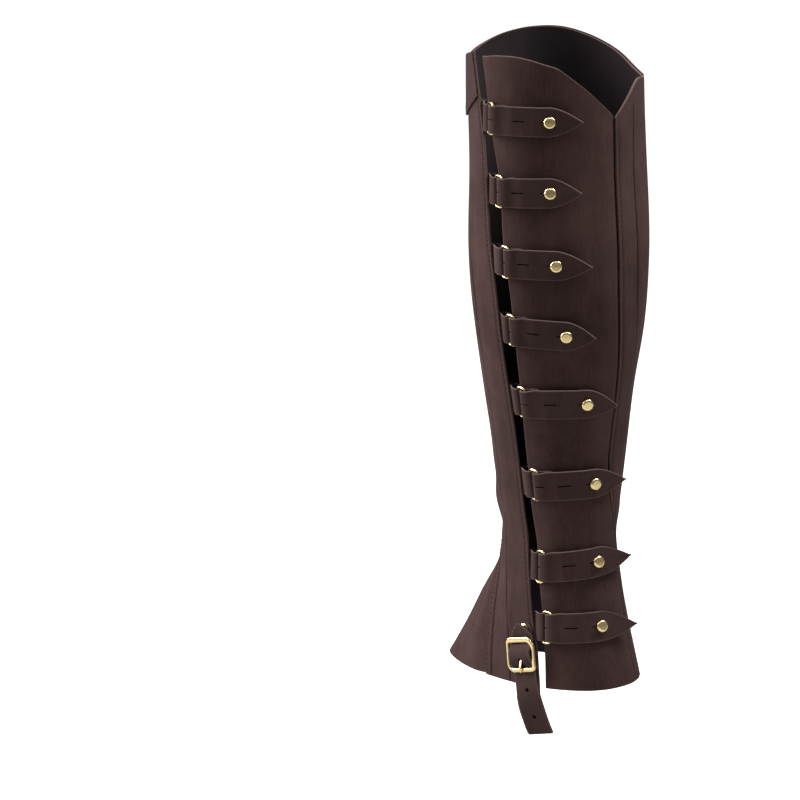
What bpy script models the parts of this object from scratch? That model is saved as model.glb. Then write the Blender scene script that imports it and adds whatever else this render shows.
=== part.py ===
# Half chap for the left leg: a tall leather leg sleeve worn over a boot, closed on its outer side by
# eight pointed straps on brass studs, with a flare over the foot and a buckled strap under it.
# It keeps the hollow form it has when worn. Sizes are in millimetres and are made metres when a
# mesh is written. +Z is up the leg, -Y is the front (toe), +X is the outer side, where the straps are.
# Angles go round the leg in degrees: 0 at the front, 90 at the outer side, 180 at the back.
# Heights are measured up from the hem. The origin lies on the leg's axis at the widest of the calf.

import math
from collections import namedtuple

import bmesh
import bpy
import numpy as np

METRES = 0.001
HOLD_HEIGHT = 300.0

# The leg's form: half sizes from its axis to each side. The nose value draws the front to a point.
Section = namedtuple("Section", "height outer inner front back nose")
SECTIONS = [
    Section(-20, 40.5, 61.5, 130.0, 61.5, 0.36),
    Section(0, 38.5, 57.0, 115.5, 58.0, 0.38),
    Section(47, 34.7, 47.3, 80.0, 49.8, 0.42),
    Section(80, 32.4, 42.4, 57.5, 45.7, 0.42),
    Section(103, 31.7, 39.9, 50.0, 43.5, 0.08),
    Section(125, 35.2, 42.6, 51.3, 44.5, 0.00),
    Section(169, 42.7, 49.1, 52.8, 47.2, 0.00),
    Section(205, 50.1, 52.3, 54.7, 54.1, 0.00),
    Section(255, 60.0, 61.0, 56.7, 61.1, 0.00),
    Section(306, 64.8, 64.4, 58.8, 63.2, 0.00),
    Section(372, 65.3, 64.0, 58.9, 57.9, 0.00),
    Section(440, 65.4, 62.0, 59.7, 56.4, 0.00),
    Section(470, 65.4, 61.8, 59.6, 56.2, 0.00),
]

# The long seams and edges, as angles at each height.
Seam = namedtuple("Seam", "height strap_edge button_edge back_seam")
SEAMS = [
    Seam(0, 113.0, 120.8, 204.0),
    Seam(30, 110.5, 120.3, 203.0),
    Seam(54, 105.0, 118.5, 201.0),
    Seam(75, 102.0, 114.5, 199.0),
    Seam(100, 99.5, 112.0, 197.0),
    Seam(131, 99.0, 109.5, 194.0),
    Seam(171, 99.2, 109.5, 191.0),
    Seam(218, 98.8, 110.3, 188.0),
    Seam(272, 97.3, 109.7, 184.0),
    Seam(318, 94.5, 105.6, 182.5),
    Seam(365, 91.6, 102.5, 183.0),
    Seam(393, 89.6, 100.0, 183.5),
    Seam(420, 85.0, 96.4, 184.0),
    Seam(455, 77.0, 88.5, 184.0),
]

# The rim: its height at each angle, falling to a notch at the back seam.
Rim = namedtuple("Rim", "angle height")
RIM = [
    Rim(-176, 410), Rim(-164, 418), Rim(-150, 430), Rim(-120, 429), Rim(-100, 431), Rim(-78, 440),
    Rim(-55, 448), Rim(-40, 452), Rim(-20, 453), Rim(0, 451), Rim(25, 446), Rim(50, 443),
    Rim(70, 449), Rim(88, 455), Rim(102, 455), Rim(118, 454), Rim(130, 451), Rim(146, 446),
    Rim(155, 438), Rim(166, 427), Rim(184, 410), Rim(210, 405),
]

# The toe flare: the angle of the main panel's notch, and of the gusset's own hidden edge.
Flare = namedtuple("Flare", "height notch edge")
FLARE = [
    Flare(0, 72.0, 77.0), Flare(28, 65.0, 71.0), Flare(46, 60.0, 67.5), Flare(60, 55.0, 64.0),
    Flare(72, 48.0, 59.0), Flare(82, 38.0, 52.0), Flare(90, 25.0, 43.0), Flare(96, 10.0, 33.0),
    Flare(99, 0.0, 27.0), Flare(107, -20.0, 9.0),
]
NOTCH_TOP = 99.0
FLARE_TOP = 107.0
LOW_ROWS = [0, 12, 25, 38, 50, 61, 71, 79, 86, 91, 95]
RIM_MIDDLE = 430.0

# Each fastening: the height of its ring and of its stud, the way from the strap edge to the stud, and
# along the strap from the ring's bar to the stud and from the stud to the point.
Fastening = namedtuple("Fastening", "ring_height stud_height reach run tip")
FASTENINGS = [
    Fastening(408.4, 408.4, 52.5, 38.4, 21.6),
    Fastening(357.4, 358.1, 48.1, 36.1, 20.4),
    Fastening(307.8, 307.0, 49.5, 37.5, 21.2),
    Fastening(259.0, 256.4, 49.9, 37.9, 18.0),
    Fastening(206.3, 206.2, 56.1, 42.1, 20.6),
    Fastening(145.4, 146.6, 54.0, 42.0, 21.5),
    Fastening(85.5, 89.7, 49.9, 37.6, 26.0),
    Fastening(43.2, 44.6, 48.7, 35.7, 27.0),
]

LEATHER = 2.0
SEAM_GAP = 0.3

# The lapped seams: how far the under piece sinks, and in degrees its slope and its hidden margin.
LAP_DEPTH = 2.8
BACK_SLOPE = 8.0
BACK_MARGIN = 9.0
FLARE_SLOPE = 7.0
LAP_CLEAR = 1.0

# The band along the rim: how deep it is at each angle. It ends on the inner side.
Depth = namedtuple("Depth", "angle depth")
BAND = [
    Depth(-125, 40), Depth(-60, 42), Depth(0, 43), Depth(30, 43), Depth(50, 41), Depth(60, 38),
    Depth(70, 34), Depth(78, 30), Depth(90, 28),
]
BAND_LEATHER = 1.4
BAND_END = -125.0

STRAP_WIDTH = 21.0
STRAP_LEATHER = 1.8
FOLD_WIDTH = 18.0
FOLD_GROWTH = 6.0
STUD_ROOM = 4.5
TIP_POWER = 1.7
TIP_LIFT = 1.15
TIP_CURVE = 55.0
TIP_SHARES = [0.2, 0.4, 0.6, 0.78, 0.92, 1.0]
THIN_END = 0.8
TAIL_LENGTH = 8.5
STRAP_GAP = 0.55
STRAP_LIFT = 2.5
SLIT_LENGTH = 9.0
SLIT_WIDTH = 1.0
SLIT_TO_STUD = 22.0
STUD_SLIT = 5.5
CUT_DEPTH = 3.0

# The strap's middle line after its fold: way past the ring's bar, and lift off the panel.
RunPoint = namedtuple("RunPoint", "way lift")
STRAP_RUN = [
    RunPoint(2.5, 5.80), RunPoint(5.5, 4.45), RunPoint(8.5, 3.80), RunPoint(13.0, 3.55),
    RunPoint(18.0, 2.90), RunPoint(24.0, STRAP_LIFT), RunPoint(30.0, STRAP_LIFT),
]

TAB_LEATHER = 1.4
TAB_LENGTH = 14.0

RING_WIRE = 1.8
RING_WIDTH = 8.0
RING_HALF_HEIGHT = 11.4
RING_POWER = 4.0
RING_STEPS = 24
WIRE_SIDES = 6
FOLD_ROOM = 0.55
FOLD_SLACK = 0.7
TAB_BAR_LIFT = 0.6

# The stud's profile from its foot on the panel to the crown of its low, flat-topped head.
STUD_HOLE = 2.0
Turn = namedtuple("Turn", "radius rise")
STUD_PROFILE = [
    Turn(0.0, SEAM_GAP), Turn(5.4, SEAM_GAP), Turn(5.2, 0.9), Turn(1.6, 0.9), Turn(1.6, 3.7),
    Turn(3.7, 3.75), Turn(4.35, 4.4), Turn(4.35, 5.0), Turn(3.7, 5.9), Turn(2.6, 6.3), Turn(0.0, 6.4),
]
STUD_SIDES = 12

# The foot strap on the buckle's plane: way up from the buckle's middle bar, lift off the panel, and
# share of the full width. The outside run comes from the point, the inside run ends under the hem.
FOOT_STRAP_WIDTH = 19.4
FOOT_STRAP_LEATHER = 2.0
BeltPoint = namedtuple("BeltPoint", "way lift share")
FOOT_STRAP_OUTSIDE = [
    BeltPoint(22.3, 6.0, 0.08), BeltPoint(20.6, 5.9, 0.30), BeltPoint(18.5, 5.5, 0.56),
    BeltPoint(16.0, 4.7, 0.80), BeltPoint(14.2, 3.7, 0.93), BeltPoint(12.6, 3.0, 1.0),
    BeltPoint(10.6, 2.8, 1.0), BeltPoint(8.8, 3.1, 1.0), BeltPoint(7.0, 4.3, 1.0),
    BeltPoint(5.0, 6.0, 1.0), BeltPoint(3.0, 7.3, 1.0), BeltPoint(0.0, 7.9, 1.0),
    BeltPoint(-3.0, 7.3, 1.0), BeltPoint(-5.0, 6.0, 1.0), BeltPoint(-7.0, 4.3, 1.0),
    BeltPoint(-8.8, 3.1, 1.0), BeltPoint(-10.6, 2.8, 1.0), BeltPoint(-15.0, 2.5, 1.0),
    BeltPoint(-20.0, 2.1, 1.0), BeltPoint(-25.0, 1.6, 1.0), BeltPoint(-31.0, 0.6, 1.0),
    BeltPoint(-38.0, -1.3, 1.0), BeltPoint(-45.0, -3.8, 1.0), BeltPoint(-52.5, -7.0, 1.0),
]
FOOT_STRAP_INSIDE = [
    BeltPoint(-46.0, -7.8, 1.0), BeltPoint(-38.0, -5.0, 1.0), BeltPoint(-31.0, -3.9, 1.0),
    BeltPoint(-25.0, -3.8, 1.0), BeltPoint(-19.0, -3.8, 1.0), BeltPoint(-9.0, -3.8, 1.0),
]
LOOP_WAY = -52.0
LOOP_LIFT = -8.5
LOOP_RADIUS = 1.6
LOOP_START = 113.0
HOLE_RADIUS = 1.5
Hole = namedtuple("Hole", "name way lift")
FOOT_STRAP_HOLES = [Hole("hole high", -25.5, 2.5), Hole("hole low", -45.0, -3.8)]
HOLE_DEPTH = 2.2

# The cuts that the prong needs, as left, bottom, right and top on the buckle's plane.
Slot = namedtuple("Slot", "left bottom right top")
PRONG_HOLE = Slot(-1.3, -9.2, 1.3, -2.4)
PRONG_HOLE_LIFT = 6.0
PRONG_HOLE_DEPTH = 4.0
TAB_SLOT = Slot(-1.9, -4.5, 1.9, 3.2)
TAB_SLOT_LIFT = 4.0
TAB_SLOT_DEPTH = 3.9

BUCKLE_ANGLE = 100.0
BUCKLE_HEIGHT = 22.0
BUCKLE_TILT = 10.0
BUCKLE_WIDTH = 26.5
BUCKLE_HEIGHT_OUTSIDE = 24.7
BUCKLE_BAR = 3.0
BUCKLE_THICK = 2.0
BUCKLE_LIFT = 5.6
CENTRE_BAR_LIFT = 3.9
CENTRE_BAR = 1.8
BAR_REACH = 0.6
CORNER_TOP = 4.0
CORNER_BOTTOM = 4.5
CORNER_STEPS = 5
# The frame's cross-section, as shares of half its bar and of half its thickness.
BarPoint = namedtuple("BarPoint", "across out")
BUCKLE_SHAPE = [
    BarPoint(-1.0, -0.5), BarPoint(-0.6, -1.0), BarPoint(0.6, -1.0), BarPoint(1.0, -0.5),
    BarPoint(1.0, 0.4), BarPoint(0.5, 1.0), BarPoint(-0.5, 1.0), BarPoint(-1.0, 0.4),
]

# The prong: a flat eye round the middle bar and a shank that ends on the frame's lower bar.
PRONG_LEATHER_ROOM = 0.25
PRONG_THICKNESS = 1.1
PRONG_EYE_WIDTH = 2.1
PRONG_SHANK = [
    BeltPoint(-1.6, 5.50, 1.0), BeltPoint(-3.6, 6.00, 0.93), BeltPoint(-6.2, 6.80, 0.93),
    BeltPoint(-9.0, 7.50, 0.93), BeltPoint(-11.6, 7.65, 0.67), BeltPoint(-12.6, 7.30, 0.40),
]

# The leather loop behind the buckle, on the buckle's plane: its back layer, then its front end.
CHAPE_LEATHER = 1.2
CHAPE_WIDTH = 15.0
CHAPE_ROOM = 0.35
CHAPE_LIFT = SEAM_GAP + CHAPE_LEATHER / 2
CHAPE_BACK = [
    BeltPoint(22.0, CHAPE_LIFT, 0.35), BeltPoint(20.5, CHAPE_LIFT, 0.70), BeltPoint(18.0, CHAPE_LIFT, 0.94),
    BeltPoint(12.0, CHAPE_LIFT, 1.0), BeltPoint(6.5, CHAPE_LIFT, 1.0), BeltPoint(3.4, 1.3, 1.0),
]
CHAPE_FRONT = [BeltPoint(2.6, 5.1, 1.0), BeltPoint(4.2, 4.0, 1.0), BeltPoint(5.8, 2.9, 1.0)]

# The rivet's low dome, its rises measured from the top of the leather loop.
RIVET_PLACE = 17.6
RIVET_BASE = SEAM_GAP + CHAPE_LEATHER + SEAM_GAP
RIVET_PROFILE = [
    Turn(0.0, RIVET_BASE), Turn(4.6, RIVET_BASE), Turn(4.6, RIVET_BASE + 0.25),
    Turn(3.3, RIVET_BASE + 0.6), Turn(1.75, RIVET_BASE + 0.85), Turn(0.0, RIVET_BASE + 0.9),
]
RIVET_SIDES = 16

# A place to work from: its origin and three directions.
Frame = namedtuple("Frame", "origin along upward out")


def clear_scene():
    for item in list(bpy.data.objects):
        bpy.data.objects.remove(item, do_unlink=True)


def material(name, colour, roughness, metallic=0.0):
    made = bpy.data.materials.new(name)
    made.use_nodes = True
    shader = made.node_tree.nodes["Principled BSDF"]
    shader.inputs["Base Color"].default_value = (*colour, 1.0)
    shader.inputs["Roughness"].default_value = roughness
    shader.inputs["Metallic"].default_value = metallic
    return made


def curve(rows, key, value):
    """A smooth curve through one column of a table, read against another column."""
    xs = np.array([getattr(row, key) for row in rows], float)
    ys = np.array([getattr(row, value) for row in rows], float)
    slopes = np.gradient(ys, xs)

    def read(x):
        i = int(np.clip(np.searchsorted(xs, x) - 1, 0, len(xs) - 2))
        span = xs[i + 1] - xs[i]
        s = min(max((x - xs[i]) / span, 0.0), 1.0)
        return (
            (2 * s**3 - 3 * s**2 + 1) * ys[i] + (s**3 - 2 * s**2 + s) * span * slopes[i]
            + (3 * s**2 - 2 * s**3) * ys[i + 1] + (s**3 - s**2) * span * slopes[i + 1]
        )

    return read


outer_at = curve(SECTIONS, "height", "outer")
inner_at = curve(SECTIONS, "height", "inner")
front_at = curve(SECTIONS, "height", "front")
back_at = curve(SECTIONS, "height", "back")
nose_at = curve(SECTIONS, "height", "nose")
strap_edge_at = curve(SEAMS, "height", "strap_edge")
button_edge_at = curve(SEAMS, "height", "button_edge")
back_seam_at = curve(SEAMS, "height", "back_seam")
rim_at = curve(RIM, "angle", "height")
notch_at = curve(FLARE, "height", "notch")
flare_edge_at = curve(FLARE, "height", "edge")
band_depth_at = curve(BAND, "angle", "depth")


def smooth_step(x):
    x = min(max(x, 0.0), 1.0)
    return x * x * (3 - 2 * x)


def unit(vector):
    return vector / np.linalg.norm(vector)


def surface(angle, height):
    """The outer face of the main leather, as a point in millimetres above the hem."""
    turn = math.radians(angle)
    across, ahead = math.sin(turn), math.cos(turn)
    x = (outer_at(height) if across > 0 else inner_at(height)) * across
    y = -(front_at(height) if ahead > 0 else back_at(height)) * ahead
    if ahead > 0:
        x *= 1 - nose_at(height) * ahead**3
    return np.array([x, y, height])


def outward(angle, height):
    step = 0.5
    around = surface(angle + step, height) - surface(angle - step, height)
    upward = surface(angle, height + step) - surface(angle, height - step)
    return unit(np.cross(around, upward))


def skin(angle, height, out=0.0):
    """A point that lies a given way outside the main leather's outer face."""
    return surface(angle, height) + out * outward(angle, height)


def walk(angle, height, way):
    """The angle reached by going a given way round the leg at one height."""
    steps = max(1, int(abs(way) / 1.5))
    for _ in range(steps):
        reach = np.linalg.norm(surface(angle + 0.5, height) - surface(angle - 0.5, height))
        angle += way / steps / reach
    return angle


def put(name, points, faces, finish=None, smooth=30.0):
    """Writes points in millimetres above the hem as one object in metres."""
    mesh = bpy.data.meshes.new(name)
    lift = np.array([0.0, 0.0, HOLD_HEIGHT])
    mesh.from_pydata([tuple((np.asarray(p) - lift) * METRES) for p in points], [], faces)
    work = bmesh.new()
    work.from_mesh(mesh)
    bmesh.ops.recalc_face_normals(work, faces=work.faces)
    bmesh.ops.triangulate(work, faces=[f for f in work.faces if len(f.verts) > 4])
    work.to_mesh(mesh)
    work.free()
    mesh.shade_smooth()
    mesh.set_sharp_from_angle(angle=math.radians(smooth))
    if finish:
        mesh.materials.append(finish)
    item = bpy.data.objects.new(name, mesh)
    bpy.context.collection.objects.link(item)
    return item


def combine(item, tool, operation):
    """Cuts a hidden tool from an item, or joins it on."""
    tool.hide_render = True
    tool.display_type = "WIRE"
    modifier = item.modifiers.new(tool.name, "BOOLEAN")
    modifier.operation = operation
    modifier.solver = "EXACT"
    modifier.object = tool


def leather_wall(name, places, quads, out, thickness, finish):
    """Thickens a sheet of (angle, height) places into a closed wall, outer face at out(angle, height)."""
    outside = [skin(a, h, out(a, h)) for a, h in places]
    inside = [skin(a, h, out(a, h) - thickness) for a, h in places]
    count = len(places)
    faces = [tuple(q) for q in quads]
    faces += [tuple(i + count for i in reversed(q)) for q in quads]
    edges = {}
    for quad in quads:
        for a, b in zip(quad, quad[1:] + quad[:1]):
            edges[(a, b)] = edges.get((a, b), 0) + 1
    for a, b in edges:
        if (b, a) not in edges:
            faces.append((b, a, a + count, b + count))
    return put(name, outside + inside, faces, finish)


def flat(angle, height):
    return 0.0


def make_main_panel(finish):
    """One sheet from the strap edge round the front and inner side to the back seam, with a notch
    at the front below NOTCH_TOP, where each half turns away from the front column."""
    outer_shares = [1.0, 0.93, 0.84, 0.74, 0.64, 0.54, 0.44, 0.34, 0.25, 0.16, 0.08, 0.0]
    inner_shares = [0.0, 0.05, 0.1, 0.15, 0.2] + [0.2 + 0.8 * i / 15 for i in range(1, 16)]
    high_rows = 20

    def span(height, share, side):
        limit = strap_edge_at(height) if side > 0 else 360 - back_seam_at(height)
        start = max(notch_at(height), 0.0) if height < NOTCH_TOP else 0.0
        return side * (start + (limit - start) * share)

    places, index, quads = [], {}, []

    def place(column, row, side):
        share = outer_shares[column] if side > 0 else inner_shares[column]
        if row < len(LOW_ROWS):
            height = LOW_ROWS[row]
            key = (column, row, side)
        else:
            rim = rim_at(span(RIM_MIDDLE, share, side))
            height = NOTCH_TOP + (rim - NOTCH_TOP) * (row - len(LOW_ROWS)) / high_rows
            key = (column, row, side) if share > 0 else ("front", row)
        if key not in index:
            index[key] = len(places)
            places.append((span(height, share, side), height))
        return index[key]

    for row in range(len(LOW_ROWS) + high_rows):
        for side, shares in ((1, outer_shares), (-1, inner_shares)):
            for column in range(len(shares) - 1):
                quads.append([
                    place(column + 1, row, side), place(column, row, side),
                    place(column, row + 1, side), place(column + 1, row + 1, side),
                ])
    return leather_wall("main_panel", places, quads, flat, LEATHER, finish)


def make_top_band(finish):
    """The band laid on the main panel along the rim, from the strap edge to the inner side."""
    columns, rows = 28, 3

    def angle_at(i):
        start = strap_edge_at(RIM_MIDDLE)
        return start + (BAND_END - start) * i / columns

    places, quads = [], []
    for j in range(rows + 1):
        for i in range(columns + 1):
            top = rim_at(angle_at(i))
            height = top - band_depth_at(angle_at(i)) * (1 - j / rows)
            angle = angle_at(i)
            if i == 0:
                angle = strap_edge_at(height)
            places.append((angle, height))
    for j in range(rows):
        for i in range(columns):
            a = j * (columns + 1) + i
            quads.append([a + 1, a, a + columns + 1, a + columns + 2])
    lift = SEAM_GAP + BAND_LEATHER
    return leather_wall("top_band", places, quads, lambda a, h: lift, BAND_LEATHER, finish)


def make_button_panel(finish):
    """The back-and-outer panel: free at its strap side, lapped under the main panel at the back."""
    shares = [i / 12 for i in range(13)]
    beyond = [0.5 * BACK_SLOPE, 0.9 * BACK_SLOPE, BACK_SLOPE + BACK_MARGIN / 2, BACK_SLOPE + BACK_MARGIN]
    rows = 26

    def slope_start(height):
        return back_seam_at(height) - BACK_SLOPE - LAP_CLEAR

    def stations(height):
        start, end = button_edge_at(height), slope_start(height)
        return [start + (end - start) * s for s in shares] + [end + b for b in beyond]

    def out(angle, height):
        return -LAP_DEPTH * smooth_step((angle - slope_start(height)) / BACK_SLOPE)

    columns = len(stations(0))
    tops = [rim_at(a) for a in stations(RIM_MIDDLE)]
    places, quads = [], []
    for j in range(rows + 1):
        for i in range(columns):
            height = tops[i] * j / rows
            places.append((stations(height)[i], height))
    for j in range(rows):
        for i in range(columns - 1):
            a = j * columns + i
            quads.append([a, a + 1, a + columns + 1, a + columns])
    return leather_wall("button_panel", places, quads, out, LEATHER, finish)


def make_toe_flare(finish):
    """The pointed gusset over the foot, lapped under the main panel's notch all round."""
    heights = LOW_ROWS + [NOTCH_TOP, (NOTCH_TOP + FLARE_TOP) / 2, FLARE_TOP]
    shares = [1.0, 0.84, 0.68, 0.53, 0.4, 0.28, 0.17, 0.08, 0.0]
    least_flat = 1.5
    row_shift = 5.0

    def half(height):
        notch = notch_at(height)
        flat_end = max(notch - FLARE_SLOPE, least_flat)
        under = max(notch + 0.3, flat_end + 2.4)
        slope = max(notch - 3.0, flat_end + 1.0)
        return [flare_edge_at(height), under, slope] + [flat_end * s for s in shares]

    def out(angle, height):
        start = notch_at(height + row_shift) - FLARE_SLOPE
        return -LAP_DEPTH * smooth_step((abs(angle) - start) / (FLARE_SLOPE - 2 * LAP_CLEAR))

    places, quads = [], []
    for height in heights:
        side = half(height)
        for angle in [-a for a in side] + list(reversed(side))[1:]:
            places.append((angle, height))
    columns = 2 * len(half(0)) - 1
    for j in range(len(heights) - 1):
        for i in range(columns - 1):
            a = j * columns + i
            quads.append([a, a + 1, a + columns + 1, a + columns])
    return leather_wall("toe_flare", places, quads, out, LEATHER, finish)


def band_along(path, widths, thickness, where):
    """A leather strip: `path` gives (way, lift) of its middle, `where` maps way, side and lift to a
    point. Returns points and faces of the closed strip."""
    points, faces = [], []
    last = len(path) - 1
    for k, (way, lift) in enumerate(path):
        before, after = path[max(k - 1, 0)], path[min(k + 1, last)]
        tangent = unit(np.array(after) - np.array(before))
        normal = np.array([-tangent[1], tangent[0]]) * thickness / 2
        for sign in (1, -1):
            for side in (1, -1):
                points.append(where(way + sign * normal[0], side * widths[k] / 2, lift + sign * normal[1]))
    for k in range(last):
        a, b = 4 * k, 4 * (k + 1)
        faces += [
            (a, b, b + 1, a + 1), (a + 2, a + 3, b + 3, b + 2),
            (a, a + 2, b + 2, b), (a + 1, b + 1, b + 3, a + 3),
        ]
    faces += [(0, 1, 3, 2), (4 * last, 4 * last + 2, 4 * last + 3, 4 * last + 1)]
    return points, faces


def arc_path(centre, radius, start, end, steps):
    """Points of a round fold in the plane of way and lift, angles in degrees."""
    turns = [math.radians(start + (end - start) * i / steps) for i in range(steps + 1)]
    return [(centre[0] + radius * math.cos(t), centre[1] + radius * math.sin(t)) for t in turns]


def prism(name, outline, frame, depth):
    """A cutter: a flat outline in (along, upward) pushed both ways along the frame's out."""
    flat_points = [frame.origin + frame.along * x + frame.upward * y for x, y in outline]
    low = [p - frame.out * depth for p in flat_points]
    high = [p + frame.out * depth for p in flat_points]
    count = len(outline)
    faces = [tuple(reversed(range(count))), tuple(range(count, 2 * count))]
    faces += [(i, (i + 1) % count, (i + 1) % count + count, i + count) for i in range(count)]
    return put(name, low + high, faces)


def slot_outline(slot):
    return [
        (slot.left, slot.bottom), (slot.right, slot.bottom), (slot.right, slot.top), (slot.left, slot.top),
    ]


def round_outline(radius, sides):
    return [
        (radius * math.cos(2 * math.pi * i / sides), radius * math.sin(2 * math.pi * i / sides))
        for i in range(sides)
    ]


def keyhole_outline(radius, slit, width):
    """A round hole with a slit running from it towards the ring."""
    half = math.asin(width / 2 / radius)
    steps = 9
    turns = [math.pi - half - (2 * math.pi - 2 * half) * i / steps for i in range(steps + 1)]
    points = [(radius * math.cos(t), radius * math.sin(t)) for t in turns]
    return points + [(-radius - slit, -width / 2), (-radius - slit, width / 2)]


def strap_height(fastening, way):
    rise = fastening.stud_height - fastening.ring_height
    return fastening.ring_height + rise * max(way, 0.0) / fastening.run


def bar_ways(fastening):
    """The ring's two bars, as ways from the strap edge: on the tab's side and on the strap's side."""
    strap_bar = fastening.reach - fastening.run
    return strap_bar - RING_WIDTH, strap_bar


def strap_bar_lift():
    return STRAP_GAP + STRAP_LEATHER + FOLD_ROOM + RING_WIRE / 2


def fastening_frame(fastening):
    """The mapping from way past the strap edge, side and lift to a point."""
    edge = strap_edge_at(fastening.ring_height)

    def where(way, side, lift):
        height = strap_height(fastening, way - bar_ways(fastening)[1])
        return skin(walk(edge, height, way), height + side, lift)

    return where


def frame_at(where, way, lift):
    """The frame of a place on a strap: along it, up across it and out of it."""
    along = unit(where(way + 1, 0.0, lift) - where(way - 1, 0.0, lift))
    upward = unit(where(way, 1.0, lift) - where(way, -1.0, lift))
    return Frame(where(way, 0.0, lift), along, upward, unit(np.cross(along, upward)))


def make_strap(number, fastening, finish):
    """A pointed strap, folded round the ring's outer bar, with a slit and a keyhole over its stud."""
    bar = bar_ways(fastening)[1]
    lift = strap_bar_lift()
    radius = RING_WIRE / 2 + FOLD_ROOM + STRAP_LEATHER / 2
    tail_lift = STRAP_GAP + STRAP_LEATHER / 2
    bend = bar - FOLD_SLACK
    path = [(bar + TAIL_LENGTH, tail_lift), (bar + TAIL_LENGTH / 2, tail_lift)]
    path += arc_path((bend, lift), radius, 270, 90, 7)
    path += [(bar + point.way, point.lift) for point in STRAP_RUN]
    path.append((bar + fastening.run - STUD_ROOM, STRAP_LIFT))
    for share in [0.0] + TIP_SHARES:
        past = share * fastening.tip
        path.append((bar + fastening.run + past, STRAP_LIFT + TIP_LIFT * past**2 / (2 * TIP_CURVE)))
    widths = []
    for way, _ in path:
        grow = smooth_step((way - bar) / FOLD_GROWTH)
        point = min(max((way - bar - fastening.run) / fastening.tip, 0.0), 1.0)
        full = (FOLD_WIDTH + (STRAP_WIDTH - FOLD_WIDTH) * grow) * (1 - point**TIP_POWER)
        widths.append(max(full, THIN_END))
    where = fastening_frame(fastening)
    points, faces = band_along(path, widths, STRAP_LEATHER, where)
    strap = put(f"strap_{number}", points, faces, finish)

    slit = Slot(-SLIT_LENGTH / 2, -SLIT_WIDTH / 2, SLIT_LENGTH / 2, SLIT_WIDTH / 2)
    for part, place, outline in (
        ("stud hole", fastening.run, keyhole_outline(STUD_HOLE, STUD_SLIT, SLIT_WIDTH)),
        ("slit", fastening.run - SLIT_TO_STUD, slot_outline(slit)),
    ):
        frame = frame_at(where, bar + place, STRAP_LIFT)
        combine(strap, prism(f"{part} {number}", outline, frame, CUT_DEPTH), "DIFFERENCE")


def make_strap_tab(number, fastening, finish):
    """A short loop of leather, sewn under the strap edge with both its layers, holding the ring."""
    bar = bar_ways(fastening)[0]
    layer = TAB_LEATHER + SEAM_GAP
    upper = -LEATHER - SEAM_GAP - TAB_LEATHER / 2
    lower = upper - layer
    radius = RING_WIRE / 2 + FOLD_ROOM + TAB_LEATHER / 2
    bend = bar + FOLD_SLACK
    rise = bar - radius
    path = [(-TAB_LENGTH, upper), (-TAB_LENGTH / 2, upper), (-1.5, upper), (rise - 0.7, upper)]
    path.append((rise, upper + 1.1))
    path += arc_path((bar, TAB_BAR_LIFT), radius, 180, 105, 3)
    path += arc_path((bend, TAB_BAR_LIFT), radius, 90, -58, 6)
    path += [(bend - 1.0, lower + 0.7), (bend - 2.6, lower), (-TAB_LENGTH / 2, lower), (-TAB_LENGTH, lower)]
    edge = strap_edge_at(fastening.ring_height)

    def where(way, side, lift):
        height = fastening.ring_height
        return skin(walk(edge, height, way), height + side, lift)

    points, faces = band_along(path, [FOLD_WIDTH] * len(path), TAB_LEATHER, where)
    put(f"strap_tab_{number}", points, faces, finish)


def tube(path, radius, sides, frame_normal):
    """Points and faces of a closed round loop of wire that lies in one plane."""
    count = len(path)
    points, faces = [], []
    for k in range(count):
        tangent = unit(path[(k + 1) % count] - path[k - 1])
        across = np.cross(tangent, frame_normal)
        for i in range(sides):
            turn = 2 * math.pi * i / sides
            points.append(path[k] + radius * (math.cos(turn) * across + math.sin(turn) * frame_normal))
    for k in range(count):
        for i in range(sides):
            a, b = k * sides, ((k + 1) % count) * sides
            j = (i + 1) % sides
            faces.append((a + i, a + j, b + j, b + i))
    return points, faces


def make_ring(number, fastening, finish):
    """An oval loop of brass wire, one long side in the tab and the other in the strap."""
    tab_bar, strap_bar = bar_ways(fastening)
    where = fastening_frame(fastening)
    left = where(tab_bar, 0.0, TAB_BAR_LIFT)
    right = where(strap_bar, 0.0, strap_bar_lift())
    middle = (tab_bar + strap_bar) / 2
    lean = where(middle, 5.0, STRAP_LIFT) - where(middle, -5.0, STRAP_LIFT)
    along = unit(right - left)
    upward = unit(lean - along * np.dot(lean, along))
    half_width = np.linalg.norm(right - left) / 2
    centre = (left + right) / 2
    path = []
    for k in range(RING_STEPS):
        turn = 2 * math.pi * (k + 0.5) / RING_STEPS
        c, s = math.cos(turn), math.sin(turn)
        x = math.copysign(abs(c) ** (2 / RING_POWER), c) * half_width
        y = math.copysign(abs(s) ** (2 / RING_POWER), s) * RING_HALF_HEIGHT
        path.append(centre + along * x + upward * y)
    points, faces = tube(path, RING_WIRE / 2, WIRE_SIDES, np.cross(along, upward))
    put(f"ring_{number}", points, faces, finish, smooth=70.0)


def turned(profile, sides, origin, axis, start):
    """Points and faces of a solid turned about an axis; the profile runs from axis to axis."""
    side = unit(start - axis * np.dot(start, axis))
    other = np.cross(axis, side)
    points = [origin + axis * profile[0][1]]
    for radius, rise in profile[1:-1]:
        for i in range(sides):
            turn = 2 * math.pi * i / sides
            spoke = math.cos(turn) * side + math.sin(turn) * other
            points.append(origin + axis * rise + spoke * radius)
    points.append(origin + axis * profile[-1][1])
    rings = len(profile) - 2
    last = len(points) - 1
    faces = []
    for i in range(sides):
        j = (i + 1) % sides
        faces.append((0, 1 + j, 1 + i))
        for r in range(rings - 1):
            a, b = 1 + r * sides, 1 + (r + 1) * sides
            faces.append((a + i, a + j, b + j, b + i))
        top = 1 + (rings - 1) * sides
        faces.append((top + i, top + j, last))
    return points, faces


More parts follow.
